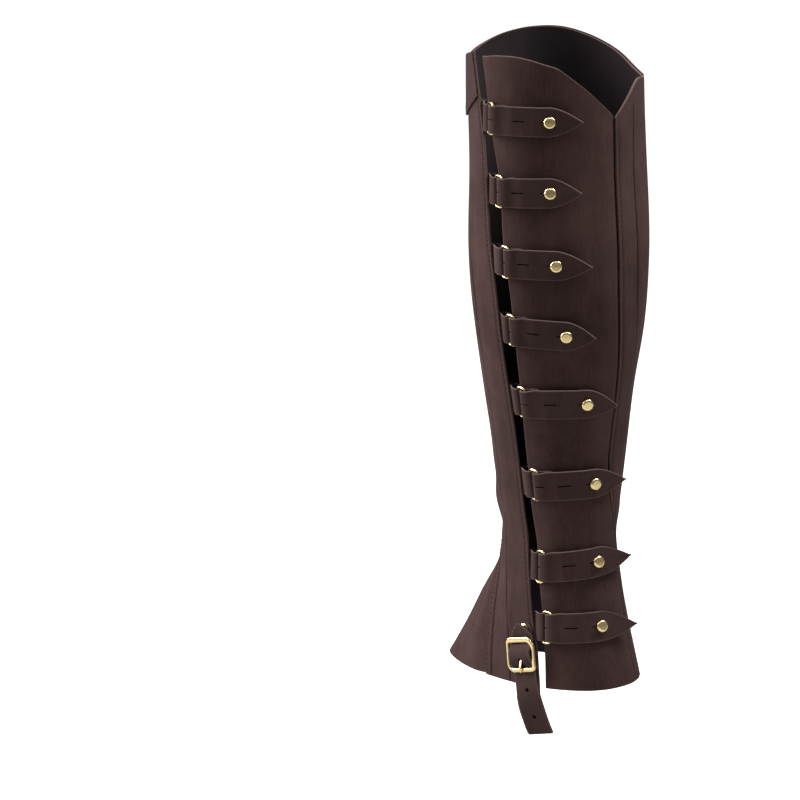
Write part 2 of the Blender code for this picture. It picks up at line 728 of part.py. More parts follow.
def make_stud(number, fastening, finish):
    """A low-headed brass stud, screwed to the button panel, its neck through the strap's keyhole."""
    frame = frame_at(fastening_frame(fastening), fastening.reach, 0.0)
    points, faces = turned(STUD_PROFILE, STUD_SIDES, frame.origin, frame.out, frame.upward)
    put(f"stud_{number}", points, faces, finish, smooth=50.0)


def buckle_plane():
    """The foot buckle's own frame on the main panel, and its mapping from way, side and lift."""
    origin = skin(BUCKLE_ANGLE, BUCKLE_HEIGHT)
    out = outward(BUCKLE_ANGLE, BUCKLE_HEIGHT)
    level = unit(surface(BUCKLE_ANGLE + 2, BUCKLE_HEIGHT) - surface(BUCKLE_ANGLE - 2, BUCKLE_HEIGHT))
    rise = unit(np.cross(out, level))
    tilt = math.radians(BUCKLE_TILT)
    upward = math.cos(tilt) * rise - math.sin(tilt) * level
    across = unit(np.cross(upward, out))
    frame = Frame(origin, across, upward, out)

    def where(way, side, lift):
        return origin + upward * way + across * side + out * lift

    return frame, where


def belt_path(rows):
    return [(row.way, row.lift) for row in rows]


def make_foot_strap(finish):
    """The strap under the foot: its point, the bulge over the buckle's middle bar, the loop that
    hangs below the hem, and the end that is sewn inside the hem."""
    loop = arc_path((LOOP_WAY, LOOP_LIFT), LOOP_RADIUS, LOOP_START, LOOP_START + 180, 6)[1:]
    path = belt_path(FOOT_STRAP_OUTSIDE) + loop + belt_path(FOOT_STRAP_INSIDE)
    shares = [row.share for row in FOOT_STRAP_OUTSIDE]
    widths = [FOOT_STRAP_WIDTH * s for s in shares]
    widths += [FOOT_STRAP_WIDTH] * (len(path) - len(widths))
    frame, where = buckle_plane()
    points, faces = band_along(path, widths, FOOT_STRAP_LEATHER, where)
    strap = put("foot_strap", points, faces, finish)
    for hole in FOOT_STRAP_HOLES:
        here = frame._replace(origin=where(hole.way, 0.0, hole.lift))
        combine(strap, prism(hole.name, round_outline(HOLE_RADIUS, 8), here, HOLE_DEPTH), "DIFFERENCE")
    here = frame._replace(origin=where(0.0, 0.0, PRONG_HOLE_LIFT))
    combine(strap, prism("prong hole", slot_outline(PRONG_HOLE), here, PRONG_HOLE_DEPTH), "DIFFERENCE")


def make_buckle_tab(finish):
    """The leather loop that holds the buckle's middle bar, riveted to the main panel above it."""
    radius = CENTRE_BAR / 2 + CHAPE_ROOM + CHAPE_LEATHER / 2
    fold = arc_path((0.0, CENTRE_BAR_LIFT), radius, -75, -285, 8)
    path = belt_path(CHAPE_BACK) + fold + belt_path(CHAPE_FRONT)
    widths = [CHAPE_WIDTH * row.share for row in CHAPE_BACK]
    widths += [CHAPE_WIDTH] * (len(path) - len(widths))
    frame, where = buckle_plane()
    points, faces = band_along(path, widths, CHAPE_LEATHER, where)
    tab = put("buckle_tab", points, faces, finish)
    here = frame._replace(origin=where(0.0, 0.0, TAB_SLOT_LIFT))
    combine(tab, prism("prong slot", slot_outline(TAB_SLOT), here, TAB_SLOT_DEPTH), "DIFFERENCE")


def make_buckle_frame(finish):
    """A cast frame with round corners, and a rod across its back that the prong turns on."""
    frame, where = buckle_plane()
    half_w = (BUCKLE_WIDTH - BUCKLE_BAR) / 2
    half_h = (BUCKLE_HEIGHT_OUTSIDE - BUCKLE_BAR) / 2
    line = []
    for side, end, radius, start in (
        (1, 1, CORNER_TOP, 0), (-1, 1, CORNER_TOP, 90),
        (-1, -1, CORNER_BOTTOM, 180), (1, -1, CORNER_BOTTOM, 270),
    ):
        centre = (side * (half_w - radius), end * (half_h - radius))
        line += arc_path(centre, radius, start, start + 90, CORNER_STEPS)
    count = len(line)
    points, faces = [], []
    for k in range(count):
        ahead, behind = np.array(line[(k + 1) % count]), np.array(line[k - 1])
        tangent = unit(ahead - behind)
        normal = np.array([tangent[1], -tangent[0]])
        for spot in BUCKLE_SHAPE:
            x, y = np.array(line[k]) + normal * spot.across * BUCKLE_BAR / 2
            points.append(where(y, x, BUCKLE_LIFT + spot.out * BUCKLE_THICK / 2))
    sides = len(BUCKLE_SHAPE)
    for k in range(count):
        a, b = k * sides, ((k + 1) % count) * sides
        for i in range(sides):
            j = (i + 1) % sides
            faces.append((a + i, a + j, b + j, b + i))
    buckle = put("buckle_frame", points, faces, finish, smooth=50.0)

    reach = half_w + BAR_REACH
    rod = [
        Turn(0.0, 0.0), Turn(CENTRE_BAR / 2, 0.0), Turn(CENTRE_BAR / 2, 2 * reach), Turn(0.0, 2 * reach),
    ]
    low = where(0.0, -reach, CENTRE_BAR_LIFT)
    rod_points, rod_faces = turned(rod, 10, low, frame.along, frame.upward)
    combine(buckle, put("middle bar", rod_points, rod_faces, finish), "UNION")


def make_buckle_prong(finish):
    """The prong: its eye round the middle bar, its tip on the frame's lower bar."""
    _, where = buckle_plane()
    radius = CENTRE_BAR / 2 + PRONG_LEATHER_ROOM + PRONG_THICKNESS / 2
    eye = arc_path((0.0, CENTRE_BAR_LIFT), radius, 430, 120, 14)[:-1]
    path = eye + belt_path(PRONG_SHANK)
    widths = [PRONG_EYE_WIDTH] * len(eye) + [PRONG_EYE_WIDTH * row.share for row in PRONG_SHANK]
    points, faces = band_along(path, widths, PRONG_THICKNESS, where)
    put("buckle_prong", points, faces, finish, smooth=50.0)


def make_tab_rivet(finish):
    """The low domed brass rivet that holds the buckle tab to the panel, behind the strap's point."""
    frame, where = buckle_plane()
    origin = where(RIVET_PLACE, 0.0, 0.0)
    points, faces = turned(RIVET_PROFILE, RIVET_SIDES, origin, frame.out, frame.upward)
    put("tab_rivet", points, faces, finish, smooth=40.0)


clear_scene()
nubuck = material("nubuck_leather", (0.068, 0.034, 0.030), 0.85)
band_leather = material("band_leather", (0.048, 0.026, 0.024), 0.62)
strap_leather = material("strap_leather", (0.058, 0.032, 0.029), 0.72)
brass = material("brass", (0.80, 0.62, 0.30), 0.22, 1.0)

make_main_panel(nubuck)
make_top_band(band_leather)
make_button_panel(nubuck)
make_toe_flare(nubuck)
for place_number, row in enumerate(FASTENINGS, start=1):
    make_strap(place_number, row, strap_leather)
    make_strap_tab(place_number, row, strap_leather)
    make_ring(place_number, row, brass)
    make_stud(place_number, row, brass)
make_foot_strap(strap_leather)
make_buckle_tab(strap_leather)
make_buckle_frame(brass)
make_buckle_prong(brass)
make_tab_rivet(brass)
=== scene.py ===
import math

import bpy
import numpy as np
from mathutils import Matrix, Vector
from mathutils.bvhtree import BVHTree


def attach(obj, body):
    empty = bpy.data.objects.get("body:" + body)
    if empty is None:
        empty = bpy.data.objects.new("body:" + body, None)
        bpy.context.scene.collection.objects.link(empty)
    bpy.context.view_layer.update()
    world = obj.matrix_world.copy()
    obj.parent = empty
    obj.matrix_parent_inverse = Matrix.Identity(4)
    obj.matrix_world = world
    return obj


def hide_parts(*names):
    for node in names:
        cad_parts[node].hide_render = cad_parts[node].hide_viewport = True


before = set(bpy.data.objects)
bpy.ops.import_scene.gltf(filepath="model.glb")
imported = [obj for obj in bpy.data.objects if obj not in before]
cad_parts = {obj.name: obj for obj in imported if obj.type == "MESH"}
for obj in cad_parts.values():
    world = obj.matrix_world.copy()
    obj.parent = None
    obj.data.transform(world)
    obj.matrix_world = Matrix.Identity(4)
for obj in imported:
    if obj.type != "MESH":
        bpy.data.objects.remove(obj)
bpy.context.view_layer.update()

# The studio: a pale floor below the hanging piece, a soft box to each side and a weak light above. The
# camera stands far off and looks down a little on the back and outer side, as in the photograph.
MM = 0.001
HOLD_HEIGHT = 300.0
AZIMUTH = math.radians(140.6)
ELEVATION = math.radians(12.0)
DISTANCE = 20.0
LOOK_AT = Vector((0.0855, -0.0702, -0.1025))
LENS = 1285.67
FLOOR_LEVEL = -0.356
FLOOR_SIZE = 40.0
FLOOR_GLOW = 0.95

toward = Vector((
    math.sin(AZIMUTH) * math.cos(ELEVATION), -math.cos(AZIMUTH) * math.cos(ELEVATION), math.sin(ELEVATION),
))
right = Vector((math.cos(AZIMUTH), math.sin(AZIMUTH), 0.0))
ahead = Vector((toward.x, toward.y, 0.0)).normalized()


def put(name, data):
    """Puts new data into the scene as an object."""
    item = bpy.data.objects.new(name, data)
    bpy.context.scene.collection.objects.link(item)
    return item


camera = put("camera", bpy.data.cameras.new("camera"))
camera.location = LOOK_AT + toward * DISTANCE
camera.rotation_euler = (-toward).to_track_quat("-Z", "Y").to_euler()
camera.data.lens = LENS
camera.data.clip_end = 200.0
bpy.context.scene.camera = camera
bpy.context.scene.view_settings.view_transform = "Standard"


def plain_material(name, colour, roughness, metallic=0.0):
    made = bpy.data.materials.new(name)
    made.use_nodes = True
    shader = made.node_tree.nodes["Principled BSDF"]
    shader.inputs["Base Color"].default_value = (*colour, 1.0)
    shader.inputs["Roughness"].default_value = roughness
    shader.inputs["Metallic"].default_value = metallic
    return made, shader


bpy.ops.object.select_all(action="DESELECT")
bpy.ops.mesh.primitive_plane_add(size=FLOOR_SIZE, location=(0, 0, FLOOR_LEVEL))
floor = bpy.context.object
floor.name = "floor"
floor_finish, floor_shader = plain_material("floor_paper", (0.55, 0.55, 0.55), 0.95)
floor_shader.inputs["Specular IOR Level"].default_value = 0.0
floor_shader.inputs["Emission Color"].default_value = (1.0, 1.0, 1.0, 1.0)
path = floor_finish.node_tree.nodes.new("ShaderNodeLightPath")
seen = floor_finish.node_tree.nodes.new("ShaderNodeMath")
seen.operation = "MULTIPLY"
seen.inputs[1].default_value = FLOOR_GLOW
floor_finish.node_tree.links.new(path.outputs["Is Camera Ray"], seen.inputs[0])
floor_finish.node_tree.links.new(seen.outputs[0], floor_shader.inputs["Emission Strength"])
floor.data.materials.append(floor_finish)

world = bpy.data.worlds.new("studio")
world.use_nodes = True
world.node_tree.nodes["Background"].inputs["Color"].default_value = (0.97, 0.98, 1.0, 1.0)
world.node_tree.nodes["Background"].inputs["Strength"].default_value = 0.22
bpy.context.scene.world = world


def soft_box(name, place, aim, width, height, power):
    light = put(name, bpy.data.lights.new(name, "AREA"))
    light.data.shape = "RECTANGLE"
    light.data.size = width
    light.data.size_y = height
    light.data.energy = power
    light.location = place
    light.rotation_euler = (aim - place).to_track_quat("-Z", "Y").to_euler()


MIDDLE = Vector((0.0, 0.0, -0.08))
soft_box("left box", MIDDLE - right * 1.35 - ahead * 0.15 + Vector((0, 0, 0.75)), MIDDLE, 0.8, 1.5, 47.0)
soft_box("right box", MIDDLE + right * 0.6 - ahead * 0.03 + Vector((0, 0, 0.8)), MIDDLE, 0.4, 0.45, 11.0)
soft_box("top light", MIDDLE + ahead * 0.55 + Vector((0, 0, 1.1)), MIDDLE, 0.8, 0.8, 3.3)


# The main panel: one large piece of napped leather from the strap edge on the outer side, round the
# front and the inner side to the back seam, notched in front for the flare. Cut from flat leather
# 2 mm thick and shaped over the leg, with its edges left raw and rubbed, and sewn lines pressed in.
LEATHER = 2.0
SEAM_GAP = 0.3
RIM_MIDDLE = 430.0
NOTCH_TOP = 99.0
EDGE_ROUND = 0.45
RUBBED = 0.6
INSETS = [0.0, 0.1, 0.25, 0.45, 1.0]
FRONT_LINE = 27.0
BACK_LINE = 20.0
NOTCH_ROW = 2.0
NOTCH_LINE = 7.6
FAR_OFF = 99.0
BAND_END = -113.0


def columns(names, rows):
    return dict(zip(names.split(), np.array(rows, float).T))


LEG = columns("height outer inner front back nose", [
    (-20, 40.5, 61.5, 130, 61.5, 0.36), (0, 38.5, 57, 115.5, 58, 0.38), (47, 34.7, 47.3, 80, 49.8, 0.42),
    (80, 32.4, 42.4, 57.5, 45.7, 0.42), (103, 31.7, 39.9, 50, 43.5, 0.08),
    (125, 35.2, 42.6, 51.3, 44.5, 0), (169, 42.7, 49.1, 52.8, 47.2, 0), (205, 50.1, 52.3, 54.7, 54.1, 0),
    (255, 60, 61, 56.7, 61.1, 0), (306, 64.8, 64.4, 58.8, 63.2, 0), (372, 65.3, 64, 58.9, 57.9, 0),
    (440, 65.4, 62, 59.7, 56.4, 0), (470, 65.4, 61.8, 59.6, 56.2, 0),
])
SEAMS = columns("height strap button back", [
    (0, 112, 117.5, 216), (30, 109, 116.5, 216), (54, 102.8, 114.5, 216), (75, 99, 110.8, 216),
    (97, 96, 108.2, 214.5), (111, 95.5, 106.5, 210), (121, 95.4, 105.7, 204), (133, 95.5, 105.3, 197.5),
    (155, 96.3, 106.3, 192.7), (179, 97, 107.3, 191.7), (223, 97.5, 109.2, 189.3),
    (283, 96.5, 108.3, 184.4), (320, 93.2, 104.5, 183.8), (365, 89.8, 102, 184.5), (393, 87, 96.8, 185),
    (420, 81.3, 91.8, 184.6), (455, 71, 84.5, 184.6),
])
RIM = columns("angle height", [
    (-176, 406.8), (-164, 418.5), (-150, 430), (-138, 429.5), (-127, 427), (-118, 426.3), (-101, 428.3),
    (-78, 439), (-55, 448), (-40, 452), (-20, 453), (0, 451), (25, 446), (50, 443), (70, 449), (88, 453),
    (102, 452.8), (118, 453.4), (126, 452.2), (139.5, 448), (146, 445.5), (155, 438), (166, 427.5),
    (175, 417.5), (184.6, 407.5), (210, 403),
])
FLARE = columns("height notch edge", [
    (0, 72, 77), (28, 65, 71), (46, 60, 67.5), (60, 55, 64), (72, 48, 59), (82, 38, 52), (90, 25, 43),
    (96, 10, 33), (99, 0, 27), (107, -20, 9),
])


def curve(table, key, value):
    """A smooth curve through one column of a table, read against another column."""
    xs, ys = table[key], table[value]
    slopes = np.gradient(ys, xs)

    def read(x):
        x = np.asarray(x, float)
        i = np.clip(np.searchsorted(xs, x) - 1, 0, len(xs) - 2)
        span = xs[i + 1] - xs[i]
        s = np.clip((x - xs[i]) / span, 0.0, 1.0)
        return (
            (2 * s**3 - 3 * s**2 + 1) * ys[i] + (s**3 - 2 * s**2 + s) * span * slopes[i]
            + (3 * s**2 - 2 * s**3) * ys[i + 1] + (s**3 - s**2) * span * slopes[i + 1]
        )

    return read


outer_at, inner_at, front_at, back_at, nose_at = (
    curve(LEG, "height", name) for name in ("outer", "inner", "front", "back", "nose")
)
strap_edge_at, button_edge_at, back_seam_at = (
    curve(SEAMS, "height", name) for name in ("strap", "button", "back")
)
rim_at = curve(RIM, "angle", "height")
notch_at, flare_edge_at = (curve(FLARE, "height", name) for name in ("notch", "edge"))


def smooth_step(x):
    x = np.clip(x, 0.0, 1.0)
    return x * x * (3 - 2 * x)


def bell(way, place, width):
    """One at a place, fading to nothing to both sides of it."""
    return np.exp(-(((way - place) / width) ** 2))


def unit(vectors):
    return vectors / np.linalg.norm(vectors, axis=-1, keepdims=True)


def surface(angle, height):
    """The outer face of the main leather, before its creases, in millimetres above the hem."""
    angle, height = np.broadcast_arrays(np.asarray(angle, float), np.asarray(height, float))
    across, forward = np.sin(np.radians(angle)), np.cos(np.radians(angle))
    x = np.where(across > 0, outer_at(height), inner_at(height)) * across
    y = -np.where(forward > 0, front_at(height), back_at(height)) * forward
    x = x * (1 - nose_at(height) * np.clip(forward, 0, None) ** 3)
    return np.stack([x, y, height], axis=-1)


def outward(angle, height):
    step = 0.5
    around = surface(angle + step, height) - surface(angle - step, height)
    upward = surface(angle, height + step) - surface(angle, height - step)
    return unit(np.cross(around, upward))


def skin(angle, height, out=0.0):
    return surface(angle, height) + np.asarray(out)[..., None] * outward(angle, height)


def degree(angle, height):
    """The way that one degree covers round the leg."""
    return np.linalg.norm(surface(angle + 0.5, height) - surface(angle - 0.5, height), axis=-1)


def walk(angle, height, way):
    """The angle reached by going a given way round the leg at one height."""
    angle, height, way = np.broadcast_arrays(np.asarray(angle, float), height, way)
    steps = max(1, int(np.abs(way).max() / 1.5))
    for _ in range(steps):
        angle = angle + way / steps / degree(angle, height)
    return angle


def bumps(table, angle, height):
    """The soft folds of a table, summed. Each runs from one place to another, with a bow to its side,
    and fades out at its ends; below zero it is a trough."""
    total = np.zeros(np.shape(angle))
    for a0, h0, a1, h1, bow, width, depth in zip(*table.values()):
        scale = float(degree((a0 + a1) / 2, (h0 + h1) / 2))
        x, y = (angle - a0) * scale, height - h0
        dx, dy = (a1 - a0) * scale, h1 - h0
        length = math.hypot(dx, dy)
        t = (x * dx + y * dy) / length**2
        side = (x * dy - y * dx) / length - bow * 4 * t * (1 - t)
        fade = np.sin(np.pi * np.clip(t, 0, 1)) ** 0.7
        total += depth * fade * bell(side, 0, width)
    return total


def near(points, line):
    """How far each point is from the nearest of a line's points."""
    parts = np.array_split(points, len(points) // 400 + 1)
    return np.concatenate([np.sqrt(((part[:, None] - line) ** 2).sum(-1)).min(1) for part in parts])


def ids(start, rows, across):
    return start + np.arange(rows * across).reshape(rows, across)


def cells(grid):
    """The four-sided faces of a grid of vertex numbers."""
    return np.stack([grid[:-1, :-1], grid[:-1, 1:], grid[1:, 1:], grid[1:, :-1]], -1).reshape(-1, 4)


def wall(name, middle, normals, quads, thickness, finishes, edge_way=None, groove_shade=None):
    """Thickens a sheet, given by its middle points, into a closed piece of leather with rounded
    edges. The first finish is its face and its cut edge, the second its inner face. Its edges are
    rubbed, or just those that `edge_way` measures from. The last argument is a share of painted
    shade that darkens the grooves of pressed sewn lines."""
    quads = [list(dict.fromkeys(q)) for q in np.asarray(quads).tolist()]
    used = np.unique([v for q in quads for v in q])
    order = {v: i for i, v in enumerate(used)}
    quads = [[order[v] for v in q] for q in quads]
    middle, normals = middle[used], normals[used]
    first, second, third = np.array([q[:3] for q in quads]).T
    facing = np.cross(middle[second] - middle[first], middle[third] - middle[first])
    if (facing * normals[first]).sum() < 0:
        quads = [q[::-1] for q in quads]
    edges = {(a, b) for q in quads for a, b in zip(q, q[1:] + q[:1])}
    border = [(a, b) for a, b in edges if (b, a) not in edges]
    distance = near(middle, middle[np.unique(border)])
    curl = np.clip(distance, 0, EDGE_ROUND)
    half = thickness / 2 - EDGE_ROUND + np.sqrt(EDGE_ROUND**2 - (EDGE_ROUND - curl) ** 2)
    worn = np.clip(1.1 - (distance if edge_way is None else edge_way[used]) / RUBBED, 0, 1)
    count = len(middle)
    points = np.concatenate([middle + normals * half[:, None], middle - normals * half[:, None]])
    faces = quads + [[v + count for v in reversed(q)] for q in quads]
    faces += [[b, a, a + count, b + count] for a, b in border]
    points[:, 2] -= HOLD_HEIGHT
    mesh = bpy.data.meshes.new(name)
    mesh.from_pydata((points * MM).tolist(), [], faces)
    for finish in finishes:
        mesh.materials.append(finish)
    mesh.polygons.foreach_set("material_index", [0] * len(quads) + [1] * len(quads) + [0] * len(border))
    rubbed = mesh.attributes.new("rubbed", "FLOAT", "POINT")
    rubbed.data.foreach_set("value", np.tile(worn, 2).astype(np.float32))
    # Painted shade: the share by which the grooves of pressed sewn lines are darkened in colour.
    if groove_shade is not None:
        dark = mesh.attributes.new("groove_shade", "FLOAT", "POINT")
        dark.data.foreach_set("value", np.tile(groove_shade[used], 2).astype(np.float32))
    mesh.shade_smooth()
    return put(name, mesh)


def ready(item, node, slot, **sheet):
    """Ties a finished piece to the frame, in place of its plain solid."""
    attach(item, "root")
    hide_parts(node)


def add(tree, kind, inputs, **settings):
    """Adds a shader node, with its inputs set or linked."""
    made = tree.nodes.new(kind)
    for key, value in settings.items():
        setattr(made, key, value)
    for key, value in inputs.items():
        if isinstance(value, bpy.types.NodeSocket):
            tree.links.new(value, made.inputs[key])
        else:
            made.inputs[key].default_value = value
    return made


def combined(tree, operation, *values):
    """A sum or product of sockets and plain numbers."""
    return add(tree, "ShaderNodeMath", dict(enumerate(values)), operation=operation).outputs[0]


def noise(tree, place, scale, detail, roughness):
    given = {"Vector": place, "Scale": scale, "Detail": detail, "Roughness": roughness}
    return add(tree, "ShaderNodeTexNoise", given).outputs[0]


def mix(tree, share, base, top):
    """One colour laid over another, by a share from 0 to 1."""
    return add(tree, "ShaderNodeMix", {0: share, 6: base, 7: top}, data_type="RGBA").outputs[2]


nap = bpy.data.node_groups.new("leather nap", "ShaderNodeTree")
nap.interface.new_socket("Place", in_out="INPUT", socket_type="NodeSocketVector")
for name, way in (("Streaks", "INPUT"), ("Tone", "OUTPUT"), ("Height", "OUTPUT")):
    nap.interface.new_socket(name, in_out=way, socket_type="NodeSocketFloat")
given = add(nap, "NodeGroupInput", {})
drawn = add(nap, "ShaderNodeMapping", {"Vector": given.outputs["Place"], "Scale": (1.0, 1.0, 0.09)})
streak = combined(nap, "MULTIPLY", noise(nap, drawn.outputs[0], 560.0, 4.0, 0.7), given.outputs["Streaks"])
grain = noise(nap, given.outputs["Place"], 2300.0, 3.0, 0.7)
cloud = combined(nap, "MULTIPLY_ADD", noise(nap, given.outputs["Place"], 26.0, 4.0, 0.62), 1.5, -1.15)
tone = combined(nap, "ADD", streak, combined(nap, "MULTIPLY_ADD", grain, 1.3, cloud))
tone.node.use_clamp = True
add(nap, "NodeGroupOutput", {"Tone": tone, "Height": combined(nap, "ADD", streak, grain)})

STREAKS = 0.8
# The near-black of the painted shade in the grooves of pressed sewn lines.
GROOVE_SHADE_TONE = (0.009, 0.005, 0.005)


def leather(name, dark, light, edge, roughness, sheen=0.015, bump=0.12):
    """A napped leather, paler where an edge is rubbed, with painted shade in pressed sewn lines."""
    made, shader = plain_material(name, dark, roughness)
    tree = made.node_tree
    place = add(tree, "ShaderNodeTexCoord", {})
    skin_nap = add(tree, "ShaderNodeGroup", {}, node_tree=nap)
    tree.links.new(place.outputs["Object"], skin_nap.inputs["Place"])
    skin_nap.inputs["Streaks"].default_value = STREAKS
    rubbed, groove_shade = (
        add(tree, "ShaderNodeAttribute", {}, attribute_name=kept).outputs["Fac"]
        for kept in ("rubbed", "groove_shade")
    )
    mixed = mix(tree, skin_nap.outputs["Tone"], (*dark, 1.0), (*light, 1.0))
    # Painted shade: the grooves of pressed sewn lines are mixed toward a near-black.
    shaded = mix(tree, groove_shade, mix(tree, rubbed, mixed, (*edge, 1.0)), (*GROOVE_SHADE_TONE, 1.0))
    tree.links.new(shaded, shader.inputs["Base Color"])
    relief = {"Strength": bump, "Distance": 0.0004, "Height": skin_nap.outputs["Height"]}
    tree.links.new(add(tree, "ShaderNodeBump", relief).outputs[0], shader.inputs["Normal"])
    shader.inputs["Specular IOR Level"].default_value = 0.08
    shader.inputs["Sheen Weight"].default_value = sheen
    shader.inputs["Sheen Roughness"].default_value = 0.45
    shader.inputs["Sheen Tint"].default_value = (0.62, 0.42, 0.38, 1.0)
    return made


nubuck = leather(
    "nubuck_leather", (0.024, 0.0135, 0.0130), (0.064, 0.035, 0.032), (0.11, 0.072, 0.065), 0.85,
)
# The inner faces: the leather's flesh side, its colour darkened to near black as painted shade for the unlit
# inside.
flesh_side_with_shade = leather(
    "leather_flesh_side_shaded", (0.014, 0.0102, 0.0112), (0.027, 0.020, 0.0215), (0.03, 0.022, 0.02), 0.9,
)

# The thread of the sewing, a waxed one in the leather's own brown. Each stitch is a short spindle
# that goes down into the leather at both ends.
STITCH = 2.5
PITCH = 3.6
THREAD = 0.27
HEM_PITCH = 8.0
EDGE_ROW = 2.6
HEM_ROW = 28.0
SPINDLE = [(-0.30, 0.85, 0.10), (0.0, 1.0, 0.16), (0.30, 0.85, 0.10)]
SPINDLE_END = -0.22
SPINDLE_SIDES = 6

thread, thread_shader = plain_material("brown_thread", (0.036, 0.021, 0.020), 0.8)
thread_shader.inputs["Specular IOR Level"].default_value = 0.1


def stitched(name, panel, node, slot, rows):
    """Sews rows of stitches on a panel's face. Each row is a line of points near it, and a pitch."""
    corners = [corner.co for corner in panel.data.vertices]
    face = BVHTree.FromPolygons(corners, [list(polygon.vertices) for polygon in panel.data.polygons])
    points, faces = [], []
    for line, pitch in rows:
        far = np.concatenate([[0], np.cumsum(np.linalg.norm(np.diff(line, axis=0), axis=1))])
        for middle in np.arange(pitch / 2, far[-1] - STITCH / 2, pitch):
            tail, centre, head = (
                Vector([np.interp(middle + half * STITCH, far, column) for column in line.T])
                for half in (-0.5, 0, 0.5)
            )
            centre.z -= HOLD_HEIGHT
            spot, out = face.find_nearest(centre * MM)[:2]
            along = (head - tail).normalized()
            along = (along - out * along.dot(out)).normalized()
            side = out.cross(along)
            first = len(points)
            for step, share, lift in SPINDLE:
                for turn in np.radians(np.arange(SPINDLE_SIDES) * 360 / SPINDLE_SIDES):
                    aside, above = math.cos(turn) * share * THREAD, math.sin(turn) * share * THREAD + lift
                    points.append(spot + (along * step * STITCH + (side * aside + out * above)) * MM)
            points += [spot + (along * end * STITCH / 2 + out * SPINDLE_END) * MM for end in (-1, 1)]
            rounds = ids(first, len(SPINDLE), SPINDLE_SIDES).tolist()
            last = first + len(SPINDLE) * SPINDLE_SIDES
            for i in range(SPINDLE_SIDES):
                j = (i + 1) % SPINDLE_SIDES
                faces += [(low[i], low[j], high[j], high[i]) for low, high in zip(rounds, rounds[1:])]
                faces += [(rounds[0][j], rounds[0][i], last), (rounds[-1][i], rounds[-1][j], last + 1)]
    mesh = bpy.data.meshes.new(name)
    mesh.from_pydata([list(point) for point in points], [], faces)
    mesh.materials.append(thread)
    mesh.shade_smooth()
    item = put(name, mesh)
    ready(item, node, slot)
    return item


def sewn_up(low, top, angle_at):
    """A line up the leg, at the angle given for each height."""
    heights = np.linspace(low, top, 200)
    return skin(angle_at(heights), heights)


def sewn_round(start, end, height_at):
    """A line round the leg, at the height given for each angle."""
    angles = np.linspace(start, end, 200)
    return skin(angles, height_at(angles))


MAIN_FOLDS = columns("angle height to_angle to_height bow width depth", [
    (70, 60, 77, 330, 3, 5, 0.9), (84, 90, 86, 250, -2, 4, 0.6), (62, 180, 68, 410, 2, 7, 0.8),
    (78, 200, 74, 390, -2, 4, -0.7), (90, 30, 86, 130, 2, 3.2, 0.7), (97, 10, 90, 105, -1.5, 3, -0.6),
    (84, 0, 76, 92, 2.5, 3.6, 0.9), (24, 100, 62, 128, 4, 5, -1.1), (30, 112, 74, 146, -3, 5, 0.8),
    (14, 128, 50, 152, 3, 6, -0.7), (-24, 101, -66, 130, -4, 5, -1.1), (-34, 115, -80, 150, 3, 5.5, 0.8),
    (-12, 130, -52, 158, -3, 6, -0.7), (-84, 4, -76, 96, -2.5, 4, 0.9), (-100, 8, -94, 120, 2, 4, -0.7),
    (-112, 30, -104, 180, -2, 5, 0.7), (-60, 190, -66, 420, 3, 7, 0.8), (-84, 150, -88, 380, -3, 6, -0.7),
    (-120, 120, -116, 330, 3, 6, 0.6), (-140, 60, -136, 300, -3, 5, -0.7),
    (-150, 40, -152, 220, 2, 4, 0.6), (-164, 200, -160, 400, 2, 4, -0.5), (8, 150, 4, 420, 3, 8, 0.6),
    (-24, 180, -30, 400, -4, 7, -0.6), (36, 170, 30, 380, 3, 7, -0.6),
])


def slack(angle, height):
    """The leather's slow unevenness, where it doesn't lie tight on the leg."""
    turn = np.radians(angle)
    return (
        0.35 * np.sin(2 * turn + height / 41 + 0.7) * np.sin(height / 67 + 1.3)
        + 0.22 * np.sin(5 * turn - height / 29) + 0.16 * np.sin(7 * turn + height / 17 + 2.1)
    )


def pressed_line(way):
    """A sewn line pressed into the leather, with the leather swelling beside it."""
    return -0.6 * bell(way, 0, 0.75) + 0.45 * bell(way, -2.4, 1.5)


notch_heights = np.linspace(0, NOTCH_TOP, 160)
notch_line = np.concatenate([surface(side * notch_at(notch_heights), notch_heights) for side in (1, -1)])
edge_ways = INSETS + [2.0, 2.6, 3.2, 4.5, 7, 9.5, 12, 14.5]
strap_ways = np.array(edge_ways + [17, 19.5, 22, 24, 25.4, 26.2, 26.7, 27, 27.3, 27.8, 28.6, 30])
back_ways = np.array(edge_ways + [17.2, 18.8, 19.4, 19.8, 20, 20.2, 20.6, 21.2, 22.5, 25])
front_ways = np.array([2.5, 1.0, 0.45, 0.25, 0.1, 0.0])
# For each side, its close columns' ways from the far edge, and how many columns fill its middle.
side_columns = {1: (strap_ways, 26), -1: (back_ways, 72)}


def fill_even(grid, first, last):
    """Spaces a grid's middle columns evenly between its first and its last ones."""
    shares = np.arange(1, grid.shape[1] - first - last + 1) / (grid.shape[1] - first - last + 1)
    start, end = grid[:, first - 1:first], grid[:, -last:][:, :1]
    grid[:, first:-last] = start + (end - start) * shares


def main_columns(height, side):
    """The angles of one side's columns at given heights, from the far edge to the notch or the front;
    `height` has a row for each row of the grid."""
    ways = side_columns[side][0]
    edge = strap_edge_at(height) if side > 0 else 360 - back_seam_at(height)
    start = np.clip(notch_at(height), 0, None) * (height < NOTCH_TOP)
    spread = 1 + np.clip((height - NOTCH_TOP) / 3, 0, 5)
    first, last = len(ways), len(front_ways)
    grid = np.zeros(height.shape)
    grid[:, :first] = walk(edge[:, :first] * side, height[:, :first], -side * ways) * side
    start, spread, low = start[:, -last:], spread[:, -last:], height[:, -last:]
    grid[:, -last:] = start + front_ways * spread / degree(start * side, low)
    fill_even(grid, first, last)
    return grid * side


